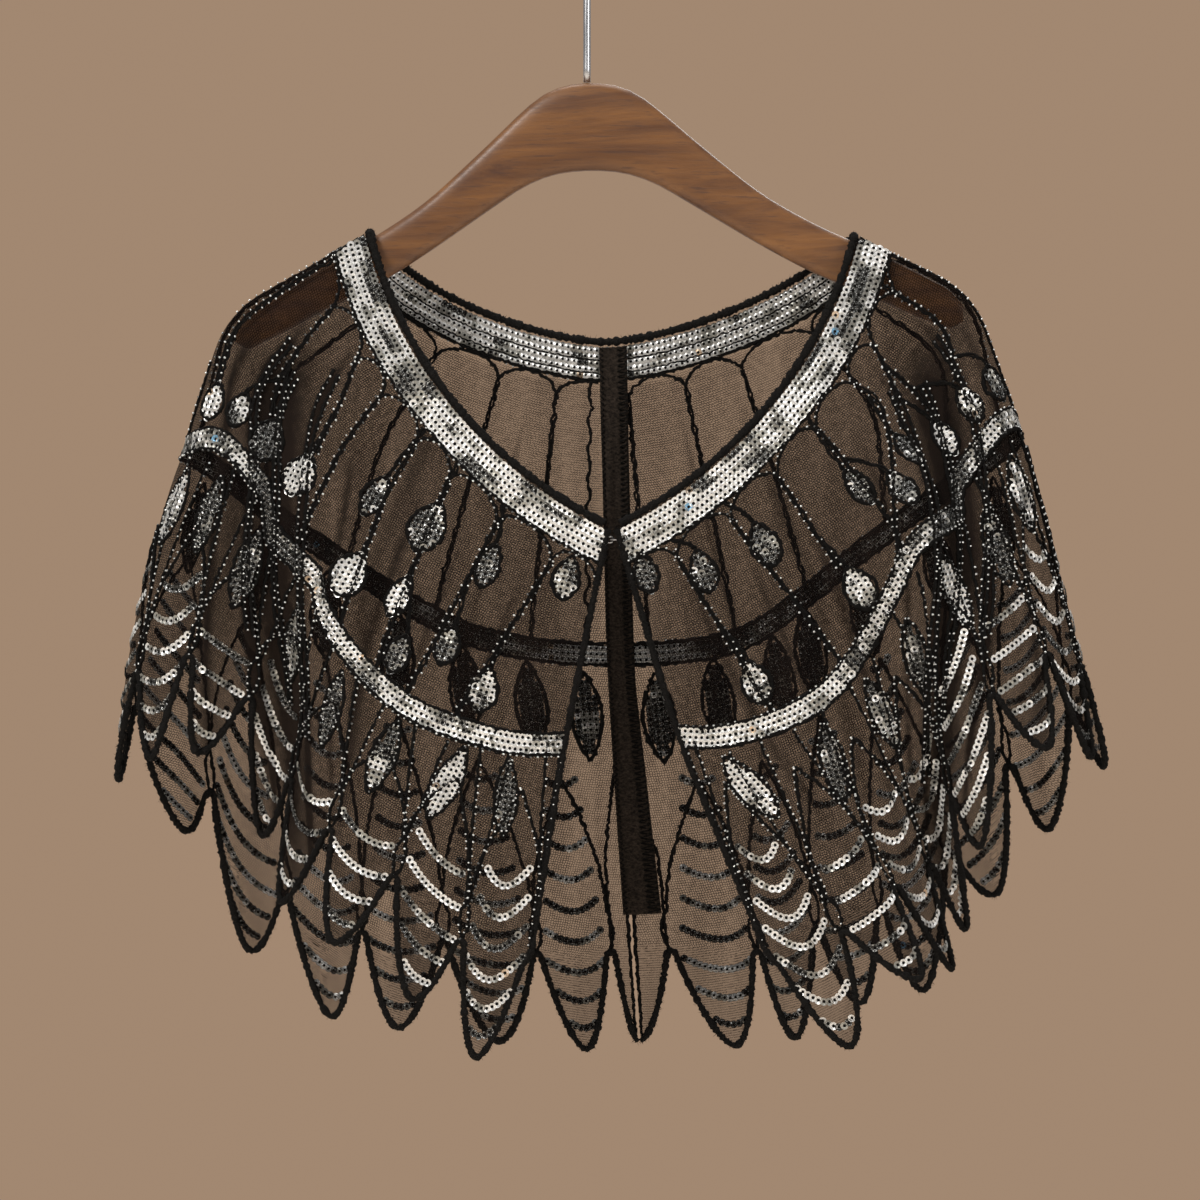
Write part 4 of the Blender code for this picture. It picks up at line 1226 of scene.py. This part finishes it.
        # A few discs are painted blue: a painted glint of iridescence.
        painted_blue_glint = self.luck.random(count) < 0.0005
        colour[painted_blue_glint] = np.array([0.2, 0.42, 0.62])
        dye = np.concatenate([colour, np.ones((count, 1))], axis=1)
        self.discs.add_copies(self.sequin, place, turned, dye)
        knots = place - out * 0.25 * MM
        self.threads.add_copies(self.knot, knots, turned, np.broadcast_to(BLACK, (count, 4)))

    def outline(
        self, ring: float, along: float, across: np.ndarray, down: np.ndarray
    ) -> tuple[np.ndarray, np.ndarray]:
        """The points of a small closed drawing on the cloth, its first point again at the end."""
        r, a = self.half.local(ring, along, np.append(across, across[0]), np.append(down, down[0]))
        return np.clip(r, 0.02, CENTRE_BACK - 0.02), a


@dataclass
class Motif:
    """A leaf or teardrop: an outline of line and beads, filled with upright rows of sequins.

    width and length are in millimetres; round is how blunt its lower end is, from 0 for a leaf with two points
    to 1 for a teardrop; slant is how far it leans, in millimetres for each one of its length. row_gap and
    disc_gap are the distances between its rows and between the sequins of a row; border is the width that
    carries no row.
    """

    width: float
    length: float
    round: float
    slant: float = 0.0
    row_gap: float = 3.3
    disc_gap: float = 2.9
    border: float = 3.2

    def half_width(self, share: np.ndarray) -> np.ndarray:
        """Half of its width at shares of its length from the upper point."""
        leaf = np.sin(np.pi * share) ** 0.85
        drop = np.sin(np.pi * np.clip(share, 0, 1) ** 1.35) ** 0.62
        return self.width / 2.0 * (leaf * (1.0 - self.round) + drop * self.round)

    def sew(self, needle: Needle, ring: float, along: float, bright: float, beads: bool = True) -> None:
        """Sews it at a place.

        Args:
            needle: the half's needle.
            ring: ring value of its middle.
            along: millimetres from the neck to its middle.
            bright: how many of its sequins are bright.
            beads: whether its outline has beads.
        """
        share = np.linspace(0.0, 1.0, 15)
        reach = self.half_width(share)
        down = (share - 0.5) * self.length
        lean = self.slant * down
        across = np.concatenate([reach + lean, (-reach + lean)[::-1][1:-1]])
        levels = np.concatenate([down, down[::-1][1:-1]])
        r, a = needle.outline(ring, along, across, levels)
        needle.line(r, a, beads, 1.25)
        inside = np.linspace(0.0, 1.0, 80)
        rows = max(1, int(round((self.width - self.border) / self.row_gap)))
        for number in range(rows):
            offset = (number - (rows - 1) / 2.0) * self.row_gap
            fits = inside[self.half_width(inside) >= np.abs(offset) + 1.9]
            if len(fits) < 2:
                continue
            span = (np.array([fits[0], fits[-1]]) - 0.5) * self.length
            count = max(1, int((span[1] - span[0]) / self.disc_gap) + 1)
            steps = np.linspace(span[0], span[1], count)
            rr, aa = needle.half.local(ring, along, offset + self.slant * steps, steps)
            needle.sew_sequins(np.clip(rr, 0.03, CENTRE_BACK - 0.03), aa, bright)


@dataclass
class Embroidery:
    """All the needlework of one half: bands, arches, teardrops, leaves and hem points."""

    half: CapeHalf
    needle: Needle
    drops: tuple
    leaves: tuple
    feet: tuple
    braids: tuple
    shift: tuple
    band_rows: tuple = (5.0, 8.6, 12.2, 15.8, 19.2)
    arch_foot: float = 33.0
    arch_crown: float = 22.5
    stem: float = 24.0

    def band_level(self, ring: np.ndarray) -> np.ndarray:
        """How far along the middle of the yoke band lies, with its steps at the folds."""
        places, steps = zip(*self.shift)
        return self.half.lengths(ring)[1] + np.interp(ring, places, steps)

    def band_top(self, ring: float) -> float:
        """How far along the yoke band's upper line lies at one ring value."""
        return self.band_level(np.array([ring]))[0] - YOKE_BAND_EDGE

    def brick_row(self, ring: np.ndarray, along: np.ndarray, number: int) -> tuple[np.ndarray, np.ndarray]:
        """Where the sequins of a band's row lie, every second row half a sequin on."""
        return self.needle.walk(ring, along, self.needle.pitch, self.needle.pitch / 2.0 * (number % 2))

    def neck_band(self) -> None:
        """Five rows of sequins round the neck, with a beaded line under them."""
        ring = np.linspace(0.03, CENTRE_BACK - 0.06, 260)
        for number, level in enumerate(self.band_rows):
            r, a = self.brick_row(ring, np.full_like(ring, level), number)
            # How many are bright round the neck: partly the discs' own silver, partly painted reflection.
            share = np.interp(r, [0, 3.0, 6.0, 8.0, 9.0], [0.76, 0.6, 0.6, 0.54, 0.74])
            self.needle.sew_sequins(r, a, share)
        self.needle.line(ring, np.full_like(ring, NECK_BAND[1] + 1.2))
        behind = ring[ring > SHOULDER + 0.3]
        for level in (8.6, 15.8, 19.2):
            self.needle.line(behind, np.full_like(behind, level + 1.8), False, 0.45)

    def yoke_band(self) -> None:
        """The band that the hem points hang from: three rows of sequins between two beaded lines."""
        ring = np.linspace(0.05, CENTRE_BACK - 0.06, 300)
        middle = self.band_level(ring)
        for number, offset in enumerate((-3.4, 0.0, 3.4)):
            r, a = self.brick_row(ring, middle + offset, number)
            # How many are bright along the band: partly the discs' own silver, partly painted reflection.
            share = np.interp(r, [0, 6.0, 7.5, 9.0, 13.3, 13.6], [0.72, 0.66, 0.74, 0.42, 0.42, 0.95])
            # The folds make the band's sequins darker: painted shade.
            _, dark = self.half.fold(r, a)
            self.needle.sew_sequins(r, a, share - 0.5 * np.clip(dark, 0.0, DEEP_FOLD))
        for offset in (-YOKE_BAND_EDGE, YOKE_BAND_EDGE):
            self.needle.line(ring, middle + offset, True, 1.2)

    def arches(self) -> None:
        """Pointed arches under the neck band, and the braided lines from their feet to the yoke band."""
        share = np.linspace(0.0, 1.0, 9)
        for first, last in zip(self.feet[:-1], self.feet[1:]):
            crown = (first + last) / 2.0
            rise = self.arch_foot - (self.arch_foot - self.arch_crown) * np.sin(share * math.pi / 2) ** 0.9
            away = (1.0 - share ** 1.6) * (last - first) / 2.0
            ring = np.concatenate([crown - away, crown + away[::-1]])
            along = np.concatenate([rise, rise[::-1]])
            kept = ring < CENTRE_BACK - 0.03
            self.needle.line(ring[kept], along[kept], first < SHOULDER + 0.5)
        for foot in self.feet[:-1]:
            if foot > SHOULDER:
                along = np.linspace(self.arch_foot, self.band_top(foot), 40)
                self.needle.braid(np.full_like(along, foot), along, foot < SHOULDER + 0.5)
        for braid in self.braids:
            ring, along = np.array(braid, dtype=float).T
            level = self.band_level(ring) - YOKE_BAND_EDGE
            t = np.linspace(0.0, len(ring) - 1.0, 40)
            path = np.stack([np.arange(len(ring)), ring, np.minimum(along, level)], axis=1)
            self.needle.braid(*smooth_columns(t, path).T)
        if self.half.side is Side.LEFT:
            along = np.linspace(NECK_BAND[1] + 2.0, self.band_top(CENTRE_BACK), 60)
            self.needle.line(14.0 + 0.035 * np.sin(along / 2.6), along, False)

    def teardrops(self) -> None:
        """Teardrops on black stems between the arches and the yoke band."""
        for drop in self.drops:
            band, _ = self.half.levels(drop.ring)
            along = NECK_BAND[1] + (band - NECK_BAND[1]) * drop.share
            motif = Motif(drop.wide, drop.long, 0.75)
            motif.sew(self.needle, drop.ring, along, drop.bright, False)
            top = along - drop.long / 2.0
            if top < self.arch_crown + 4.0:
                continue
            start = self.arch_crown if drop.share < 0.5 else top - self.stem
            foot = self.branch(drop.ring, start)
            down = np.linspace(start, top, 24)
            bend = np.linspace(1.0, 0.0, 24) ** 1.5
            self.needle.braid(drop.ring + (foot - drop.ring) * bend, down, False)

    def branch(self, ring: float, along: float) -> float:
        """The ring value of the nearest braided line at this level, or the same one if none is near."""
        near, low = 0.8, self.band_top(ring)
        rings = []
        for braid in self.braids:
            places, levels = zip(*braid)
            rings.append(np.interp(along, np.minimum(levels, low), places))
        nearest = min(rings, key=lambda value: abs(value - ring))
        return float(nearest) if abs(nearest - ring) < near else ring

    def fold_lines(self) -> None:
        """Beaded black lines that run down the deepest folds, to the hem's notches."""
        for crease in CREASES[self.half.side.value]:
            if crease.dark < DEEP_FOLD:
                continue
            _, tip = self.half.levels(crease.lower)
            along = np.linspace(crease.start + 20.0, tip - NOTCH_DEPTH - 30.0, 50)
            middle = crease_middle(crease, along)
            for aside in (-0.05, 0.05):
                ring = middle + aside + 0.02 * np.sin(along / 9.0 + aside * 40.0)
                self.needle.line(ring, along, True, 1.2)

    def point_line(self, number: int, sign: float) -> tuple[np.ndarray, np.ndarray]:
        """One side of a hem point's inner outline, from its notch up to its apex.

        Args:
            number: the hem point's number.
            sign: -1 for the side nearer the front edge, 1 for the other.

        Returns:
            Ring and along values.
        """
        centre = number + 0.5
        band, tip = self.half.levels(centre)
        gap = np.interp(centre, [0, 5, 9, 13], [20.0, 24.0, 50.0, 66.0])
        apex = tip - band - 5.5 - gap
        waist = NOTCH_DEPTH + NOTCH_BULGE
        bulge = np.linspace(NOTCH_DEPTH, waist, 8)
        swing = 1.0 + 0.14 * np.sin((bulge - NOTCH_DEPTH) / NOTCH_BULGE * math.pi)
        rise = np.linspace(waist + 1.5, apex, 22)
        reach = 1.0 - ((rise - waist) / (apex - waist)) ** 1.7
        height = np.concatenate([bulge, rise])
        share = np.concatenate([swing, reach])
        ring = np.clip(centre + sign * share * 0.5, 0.04, CENTRE_BACK - 0.04)
        _, _, tips = self.half.lengths(ring)
        return ring, tips - height

    def hem_points(self) -> None:
        """Each hem point's outline, sagging rows of sequins and leaf."""
        for number in range(LAST_POINT):
            front = number < SHOULDER
            for sign in (-1.0, 1.0):
                ring, along = self.point_line(number, sign)
                self.needle.line(ring, along, front, 1.15)
            self.arcs(number)
            if front:
                self.side_lines(number)
        for leaf in self.leaves:
            front = leaf.ring < SHOULDER
            band, _ = self.half.levels(leaf.ring)
            motif = Motif(leaf.wide, 44.0 if front else 50.0, 0.15, leaf.lean)
            motif.sew(self.needle, leaf.ring, band + leaf.below, leaf.bright, front)
        self.centre_point()

    def centre_point(self) -> None:
        """This half's share of the narrow hem point at the back seam: its outline and the seam's line."""
        sloping = np.linspace(LAST_POINT + 0.05, CENTRE_BACK - 0.05, 10)
        ring = np.concatenate([np.full(6, LAST_POINT + 0.03), sloping])
        band, tip = self.half.levels(CENTRE_BACK)
        height = np.concatenate([np.linspace(NOTCH_DEPTH, 100.0, 6), np.linspace(108.0, 160.0, 10)])
        self.needle.line(ring, tip - height, False, 1.1)
        seam = np.linspace(band + 60.0, tip - 4.0, 60)
        self.needle.line(np.full_like(seam, CENTRE_BACK - 0.035), seam, False, 1.1)

    def side_lines(self, number: int) -> None:
        """Twin lines from the yoke band down to where two hem points' outlines cross."""
        _, tip = self.half.levels(number)
        start = self.band_top(float(number)) + 2.0 * YOKE_BAND_EDGE
        along = np.linspace(start, tip - NOTCH_DEPTH - NOTCH_BULGE, 20)
        for part in (-0.5, 0.5):
            spread = part * np.interp(along, [along[0], along[-1]], [0.5, 0.06])
            self.needle.line(np.clip(number + spread, 0.04, CENTRE_BACK), along)

    def arcs(self, number: int) -> None:
        """Sagging rows of sequins across one hem point."""
        centre = number + 0.5
        band, tip = self.half.levels(centre)
        for order, height in enumerate(np.arange(16.0, tip - band - 62.0, 17.0)):
            if height < NOTCH_DEPTH:
                reach = (height / NOTCH_DEPTH) ** (1.0 / POINT_SHAPE) * 0.5 - 0.09
            else:
                reach = 0.40 - 0.0022 * (height - NOTCH_DEPTH)
            spread = np.linspace(-reach, reach, 13)
            sag = 5.5 * (1.0 - (spread / reach) ** 2) * min(1.0, reach / 0.35)
            ring = np.clip(centre + spread, 0.06, CENTRE_BACK - 0.05)
            _, _, tips = self.half.lengths(ring)
            # How many of the row's sequins are bright: partly their own silver, partly painted reflection.
            share = 0.25 + 0.6 * (0.5 + 0.5 * math.sin(order * 1.9 + number * 2.7 + self.half.side.value))
            if number > 8:
                share *= 0.8
            elif self.half.side is Side.RIGHT:
                share += 0.14
            r, a = self.needle.walk(ring, tips - height + sag, self.needle.pitch)
            self.needle.sew_sequins(r, a, share)

    def sew(self) -> None:
        """Sews everything."""
        self.neck_band()
        self.yoke_band()
        self.arches()
        self.teardrops()
        self.hem_points()
        self.fold_lines()


# ------------------------------------------------------------------ cords
@dataclass
class FuzzyCord:
    """A fuzzy chenille cord with loose hairs."""

    name: str
    radius: float
    seed: int
    hairs_per_mm: float = 8.0
    hair: float = 1.9
    stitch: float = 1.1

    def build(self, path: np.ndarray, out: np.ndarray, material: bpy.types.Material) -> bpy.types.Object:
        """Makes the cord.

        Args:
            path: its places in metres.
            out: the cloth's way out at each.
            material: its finish.

        Returns:
            The object.
        """
        luck = np.random.default_rng(self.seed)
        gather = Gather(self.name)
        travel = travelled(path)
        at = np.linspace(0.0, travel[-1], int(travel[-1] / self.stitch))
        place, way = (np.stack([np.interp(at, travel, axis) for axis in v.T], axis=1) for v in (path, out))
        thick = self.radius * (1.0 + luck.uniform(-0.3, 0.3, len(at))) * MM
        gather.add_tube(place, unit(way), thick, 8)
        reach = self.radius + 0.4, self.radius + self.hair
        gather.add_hairs(place, luck, int(travel[-1] * self.hairs_per_mm), reach)
        return gather.make(material, "cord")


@dataclass
class Edging:
    """The cords of the capelet: round the neck, and down each front edge and round the hem."""

    halves: tuple[CapeHalf, CapeHalf]

    def edge(self, half: CapeHalf, material: bpy.types.Material) -> bpy.types.Object:
        """The cord down one front edge and round that half's hem points."""
        ring, along = half.hem_line()
        down_edge = np.linspace(BINDING_RADIUS, along[0], 60)[:-1]
        ring = np.concatenate([np.zeros_like(down_edge), ring])
        along = np.concatenate([down_edge, along])
        out = half.axes(np.maximum(ring, 0.05), along)[:, 2]
        made = FuzzyCord(f"hem_cord_{half.side.word}", 1.9, 5).build(half.point(ring, along), out, material)
        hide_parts(f"edge_cord_{half.side.word}")
        return made

    def binding(self, material: bpy.types.Material) -> None:
        """Makes the cord round the neck, over both shoulders."""
        step = np.linspace(0.1, CENTRE_BACK, 220)
        ways = [half.point(step, np.zeros_like(step)) for half in self.halves]
        outs = [half.axes(step, np.full_like(step, 1.0))[:, 2] for half in self.halves]
        path, out = (np.concatenate([v[0], v[1][::-1][1:]]) for v in (ways, outs))
        made = FuzzyCord("neck_cord", 2.2, 9).build(path, out, material)
        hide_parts("neck_binding")


@dataclass
class BackSeam:
    """The overlocked seam allowance inside the centre back, turned towards the right."""

    halves: tuple[CapeHalf, CapeHalf]
    shares: tuple = ((0.2, 0.1), (0.0, 0.1, 0.2, 0.3, 0.4, 0.5, 0.6, 0.7, 0.8))
    top: float = 15.0
    foot: float = 22.0
    thickness: float = 0.7
    loop: float = 3.0
    yarn: float = 0.35

    def rim(
        self, half: CapeHalf, share: object, along: np.ndarray, width: np.ndarray, lift: object
    ) -> np.ndarray:
        """A line down the seam allowance.

        Args:
            half: the half that it lies on.
            share: how far it lies from the seam, as a share of the width.
            along: millimetres from the neck.
            width: the allowance's width at each.
            lift: millimetres inwards from the net.

        Returns:
            Places in metres.
        """
        ring = np.full_like(along, CENTRE_BACK - 0.1)
        pace = np.linalg.norm(half.point(ring, along) - half.point(ring + 0.1, along), axis=1) / MM / 0.1
        ring = CENTRE_BACK - share * width / pace
        out = half.axes(np.minimum(ring, CENTRE_BACK - 0.05), along)[:, 2]
        return half.point(ring, along) - out * (np.broadcast_to(lift, along.shape) * MM)[:, None]

    def build(self, finishes: Finishes) -> None:
        """Makes the strip with its pleats, and the overlock loops on its edges."""
        _, tip = self.halves[0].levels(CENTRE_BACK)
        along = np.linspace(NECK_BAND[0], tip - 1.35 * NOTCH_DEPTH, 150)
        width = np.interp(along, [along[0], along[-1] * 0.6, along[-1]], [self.top, self.top, self.foot])
        places = [(half, share) for half, shares in zip(self.halves, self.shares) for share in shares]
        lines = []
        for count, (half, share) in enumerate(places):
            lift = 1.5 + 0.45 * math.cos(count * 2.1) + 0.25 * np.sin(along / 14.0 + count)
            lines.append(self.rim(half, share, along, width, lift))
        grid = np.stack(lines, axis=1)
        strip = Gather("seam_strip")
        strip.add(grid, grid_faces(*grid.shape[:2]))
        made = strip.make(finishes.seam, "cord")
        wall = made.modifiers.new("thickness", "SOLIDIFY")
        wall.thickness = self.thickness * MM
        wall.offset = 0.0
        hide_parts("back_seam")
        loops = Gather("overlock_loops")
        for half, edge, reach in ((self.halves[1], 0.8, 0.34), (self.halves[0], 0.2, 0.12)):
            level = np.arange(along[0], along[-1], 0.35)
            turn = level * 2 * math.pi / self.loop
            swing = edge - reach / 2 + reach / 2 * np.cos(turn)
            path = self.rim(half, swing, level, np.interp(level, along, width), 2.4 + 0.5 * np.sin(turn))
            way = np.broadcast_to(np.array([0.0, -1.0, 0.0]), path.shape)
            loops.add_tube(path, way, self.yarn * MM, 4)
        loops.make(finishes.thread, "cord")


# ------------------------------------------------------------------ the hanger
@dataclass
class Hanger:
    """The contoured wooden hanger and its wire hook."""

    arms: tuple[float, float] = ARMS
    sides: int = 32
    power: float = 0.6
    stations: int = 66

    def section(self, away: float) -> tuple[float, float, float, float]:
        """Middle and half sizes of the wood's section: out, down, half thickness and half height."""
        place = np.array([away])
        top, bottom = hanger_edge(place, "top", self.arms)[0], hanger_edge(place, "bottom", self.arms)[0]
        slim = np.interp(abs(away), [0, 180, 193, 206.5], [1.0, 1.0, 0.85, 0.45])
        out = -HANGER_SWEEP * (away / PROFILE_LENGTH) ** 2
        return out, (top + bottom) / 2.0, HANGER_THICK / 2.0 * slim, (bottom - top) / 2.0

    def build_wood(self, material: bpy.types.Material) -> None:
        """Lofts the wood by extruding a rounded section from one arm's end to the other."""
        deselect()
        bpy.ops.mesh.primitive_circle_add(vertices=self.sides, radius=1.0, fill_type="NGON")
        made = bpy.context.object
        made.name = made.data.name = "hanger_body"
        turn = (np.arange(self.sides) + 0.5) * 2 * math.pi / self.sides
        wide = np.sign(np.cos(turn)) * np.abs(np.cos(turn)) ** self.power
        high = np.sign(np.sin(turn)) * np.abs(np.sin(turn)) ** self.power
        for vertex, w, h in zip(made.data.vertices, wide, high):
            vertex.co = (0.0, w, h)
        way = -np.cos(np.linspace(0.0, math.pi, self.stations))
        away = np.where(way < 0, way * self.arms[0], way * self.arms[1])
        away = away * 0.5 + np.linspace(-self.arms[0], self.arms[1], self.stations) * 0.5
        out, down, thick, tall = self.section(away[0])
        bpy.ops.object.mode_set(mode="EDIT")
        bpy.ops.mesh.select_all(action="SELECT")
        bpy.ops.transform.resize(value=(1.0, thick * MM, tall * MM))
        x = (away[0] + ARM_MIDDLE + CAPE_SHIFT) * MM
        bpy.ops.transform.translate(value=(x, out * MM, -(CROWN_BELOW_HOOK + down) * MM))
        before = (away[0], out, down, thick, tall)
        for station in away[1:]:
            out, down, thick, tall = self.section(station)
            step = np.array([station - before[0], out - before[1], before[2] - down]) * MM
            bpy.ops.mesh.extrude_region_move(TRANSFORM_OT_translate={"value": tuple(step)})
            bpy.ops.transform.resize(value=(1.0, thick / before[3], tall / before[4]))
            before = (station, out, down, thick, tall)
        bpy.ops.mesh.select_all(action="SELECT")
        bpy.ops.mesh.normals_make_consistent(inside=False)
        deselect()
        rounding = made.modifiers.new("soft_ends", "BEVEL")
        rounding.width = 0.0022
        rounding.segments = 3
        rounding.angle_limit = math.radians(50.0)
        bpy.context.view_layer.objects.active = made
        bpy.ops.object.modifier_apply(modifier=rounding.name)
        made.data.shade_smooth()
        made.data.materials.append(material)
        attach(made, "root")
        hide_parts("hanger_wood")
        LOG.info("hanger_body: %d faces", len(made.data.polygons))

    def build_wire(self, material: bpy.types.Material) -> None:
        """Bends the wire: a straight shank, a swing to the side and the round hook."""
        middle = np.array([0.0, WIRE_RADIUS - HOOK_RADIUS])
        foot = 0.3 - CROWN_BELOW_HOOK
        join = math.radians(-62.0)
        join_point = middle + HOOK_RADIUS * np.array([math.cos(join), math.sin(join)])
        join_way = np.array([-math.sin(join), math.cos(join)])
        shank_top = np.array([0.0, foot + HOOK_SHANK])
        reach = np.linalg.norm(join_point - shank_top)
        shank = [np.array([0.0, foot + HOOK_SHANK * k / 6]) for k in range(7)]
        t = (np.arange(1, 14) / 14)[:, None]
        swing = bend_between(t, reach, (shank_top, np.array([0.0, 1.0])), (join_point, join_way))
        turn = np.linspace(join, math.radians(196.0), 60)
        bow = middle + HOOK_RADIUS * np.stack([np.cos(turn), np.sin(turn)], axis=1)
        across, up = np.concatenate([shank, swing, bow]).T
        path = np.stack([across, np.zeros_like(across), up], axis=1) * MM
        wire = Gather("hook_wire")
        out = np.broadcast_to(np.array([0.0, 1.0, 0.0]), path.shape)
        wire.add_tube(path, out, WIRE_RADIUS * MM, 16)
        made = wire.make(material, "wire")
        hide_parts("hanger_wire")


# ------------------------------------------------------------------ studio
@dataclass
class Studio:
    """A plain pale floor, soft lights and the camera of the picture."""

    aim: tuple[float, float, float] = (0.00715, 0.0, -0.37435)
    distance: float = 6.0
    seen: float = 0.66
    floor_level: float = -1.15

    def build_floor(self) -> None:
        """Adds the floor."""
        deselect()
        bpy.ops.mesh.primitive_plane_add(size=14.0, location=(0.0, 0.0, self.floor_level))
        floor = bpy.context.object
        floor.name = "floor"
        board = Board("pale_floor")
        spots = board.noise(board.place(), 3.0, 4.0)
        board.set(Base_Color=board.mix(spots, (0.86, 0.77, 0.67, 1.0), (0.9, 0.81, 0.71, 1.0)), Roughness=0.8)
        floor.data.materials.append(board.material)

    def build_world(self) -> None:
        """A plain warm backdrop for the camera, and a soft grey one for the light."""
        world = bpy.data.worlds.new("studio")
        world.use_nodes = True
        bpy.context.scene.world = world
        nodes, links = world.node_tree.nodes, world.node_tree.links
        nodes.clear()
        seen = nodes.new("ShaderNodeBackground")
        seen.inputs["Color"].default_value = (0.36, 0.245, 0.165, 1.0)
        lit = nodes.new("ShaderNodeBackground")
        lit.inputs["Color"].default_value = (0.27, 0.27, 0.275, 1.0)
        path = nodes.new("ShaderNodeLightPath")
        mix = nodes.new("ShaderNodeMixShader")
        out = nodes.new("ShaderNodeOutputWorld")
        links.new(path.outputs["Is Camera Ray"], mix.inputs[0])
        links.new(lit.outputs[0], mix.inputs[1])
        links.new(seen.outputs[0], mix.inputs[2])
        links.new(mix.outputs[0], out.inputs[0])

    def add_light(self, name: str, place: tuple, size: float, power: float, colour: tuple) -> None:
        """Adds a softbox that faces the capelet."""
        light = bpy.data.lights.new(name, "AREA")
        light.size = size
        light.energy = power
        light.color = colour
        made = bpy.data.objects.new(name, light)
        made.location = place
        bpy.context.scene.collection.objects.link(made)
        aim = bpy.data.objects[FOCUS].location - made.location
        made.rotation_euler = aim.to_track_quat("-Z", "Y").to_euler()

    def build(self) -> None:
        """Adds the camera, the lights and the floor."""
        camera = bpy.data.cameras.new("camera")
        camera.sensor_width = 36.0
        camera.lens = 36.0 * self.distance / self.seen
        camera.clip_end = 50.0
        made = bpy.data.objects.new("camera", camera)
        made.location = (self.aim[0], self.aim[1] - self.distance, self.aim[2])
        made.rotation_euler = (math.radians(90.0), 0.0, 0.0)
        bpy.context.scene.collection.objects.link(made)
        bpy.context.scene.camera = made
        focus = bpy.data.objects.new(FOCUS, None)
        focus.location = self.aim
        bpy.context.scene.collection.objects.link(focus)
        self.build_floor()
        self.build_world()
        self.add_light("key", (-1.6, -1.9, 1.1), 0.9, 66.0, (1.0, 0.98, 0.95))
        self.add_light("fill", (1.9, -1.7, 0.2), 1.3, 24.0, (1.0, 0.99, 0.98))
        self.add_light("rim", (0.7, 1.8, 0.9), 1.2, 16.0, (1.0, 0.98, 0.96))
        self.add_light("top", (0.0, 0.4, 2.4), 2.0, 45.0, (1.0, 0.98, 0.95))
        bpy.context.scene.view_settings.view_transform = "Standard"


# ------------------------------------------------------------------ the whole
def dress_clasp(nodes: dict, material: bpy.types.Material) -> None:
    """Gives the hook and eye behind the neck point their finish."""
    for name in ("clasp_hook", "clasp_eye"):
        nodes[name].data.materials.clear()
        nodes[name].data.materials.append(material)
        nodes[name].data.shade_smooth()


def main() -> None:
    """Builds every piece in order."""
    logging.basicConfig(level=logging.INFO, format="%(name)s: %(message)s")
    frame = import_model()
    Studio().build()
    finishes = Finishes.make()
    left = CapeHalf(Side.LEFT, LEFT_ROWS, ARMS[0], 9.0)
    right = CapeHalf(Side.RIGHT, RIGHT_ROWS, ARMS[1], 1.0)
    sequin = model_sequin(0.00225, 0.0008, 0.0006, 10)
    bead = model_bead(0.0008)
    knot = model_knot(0.00095)
    edging = Edging((left, right))
    for half, seed, motifs in (
        (left, 11, (LEFT_DROPS, LEFT_LEAVES, LEFT_FEET, LEFT_BRAIDS, LEFT_SHIFT)),
        (right, 23, (RIGHT_DROPS, RIGHT_LEAVES, RIGHT_FEET, RIGHT_BRAIDS, RIGHT_SHIFT)),
    ):
        word = half.side.word
        net = NetShell(half).build(finishes.net)
        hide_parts(f"body_{word}")
        needle = Needle(half, sequin, bead, knot, seed)
        Embroidery(half, needle, *motifs).sew()
        lines = needle.threads.make(finishes.thread, "cord")
        beads = needle.beads.make(finishes.beads, "sequins")
        discs = needle.discs.make(finishes.sequins, "sequins")
        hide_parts(f"neck_band_{word}", f"yoke_band_{word}")
        cord = edging.edge(half, finishes.cord)
    edging.binding(finishes.cord)
    BackSeam((left, right)).build(finishes)
    hanger = Hanger()
    hanger.build_wood(finishes.wood)
    hanger.build_wire(finishes.wire)
    dress_clasp(frame["nodes"], finishes.wire)
    bpy.data.objects.remove(bpy.data.objects[FOCUS])


if __name__ == "__main__":
    main()
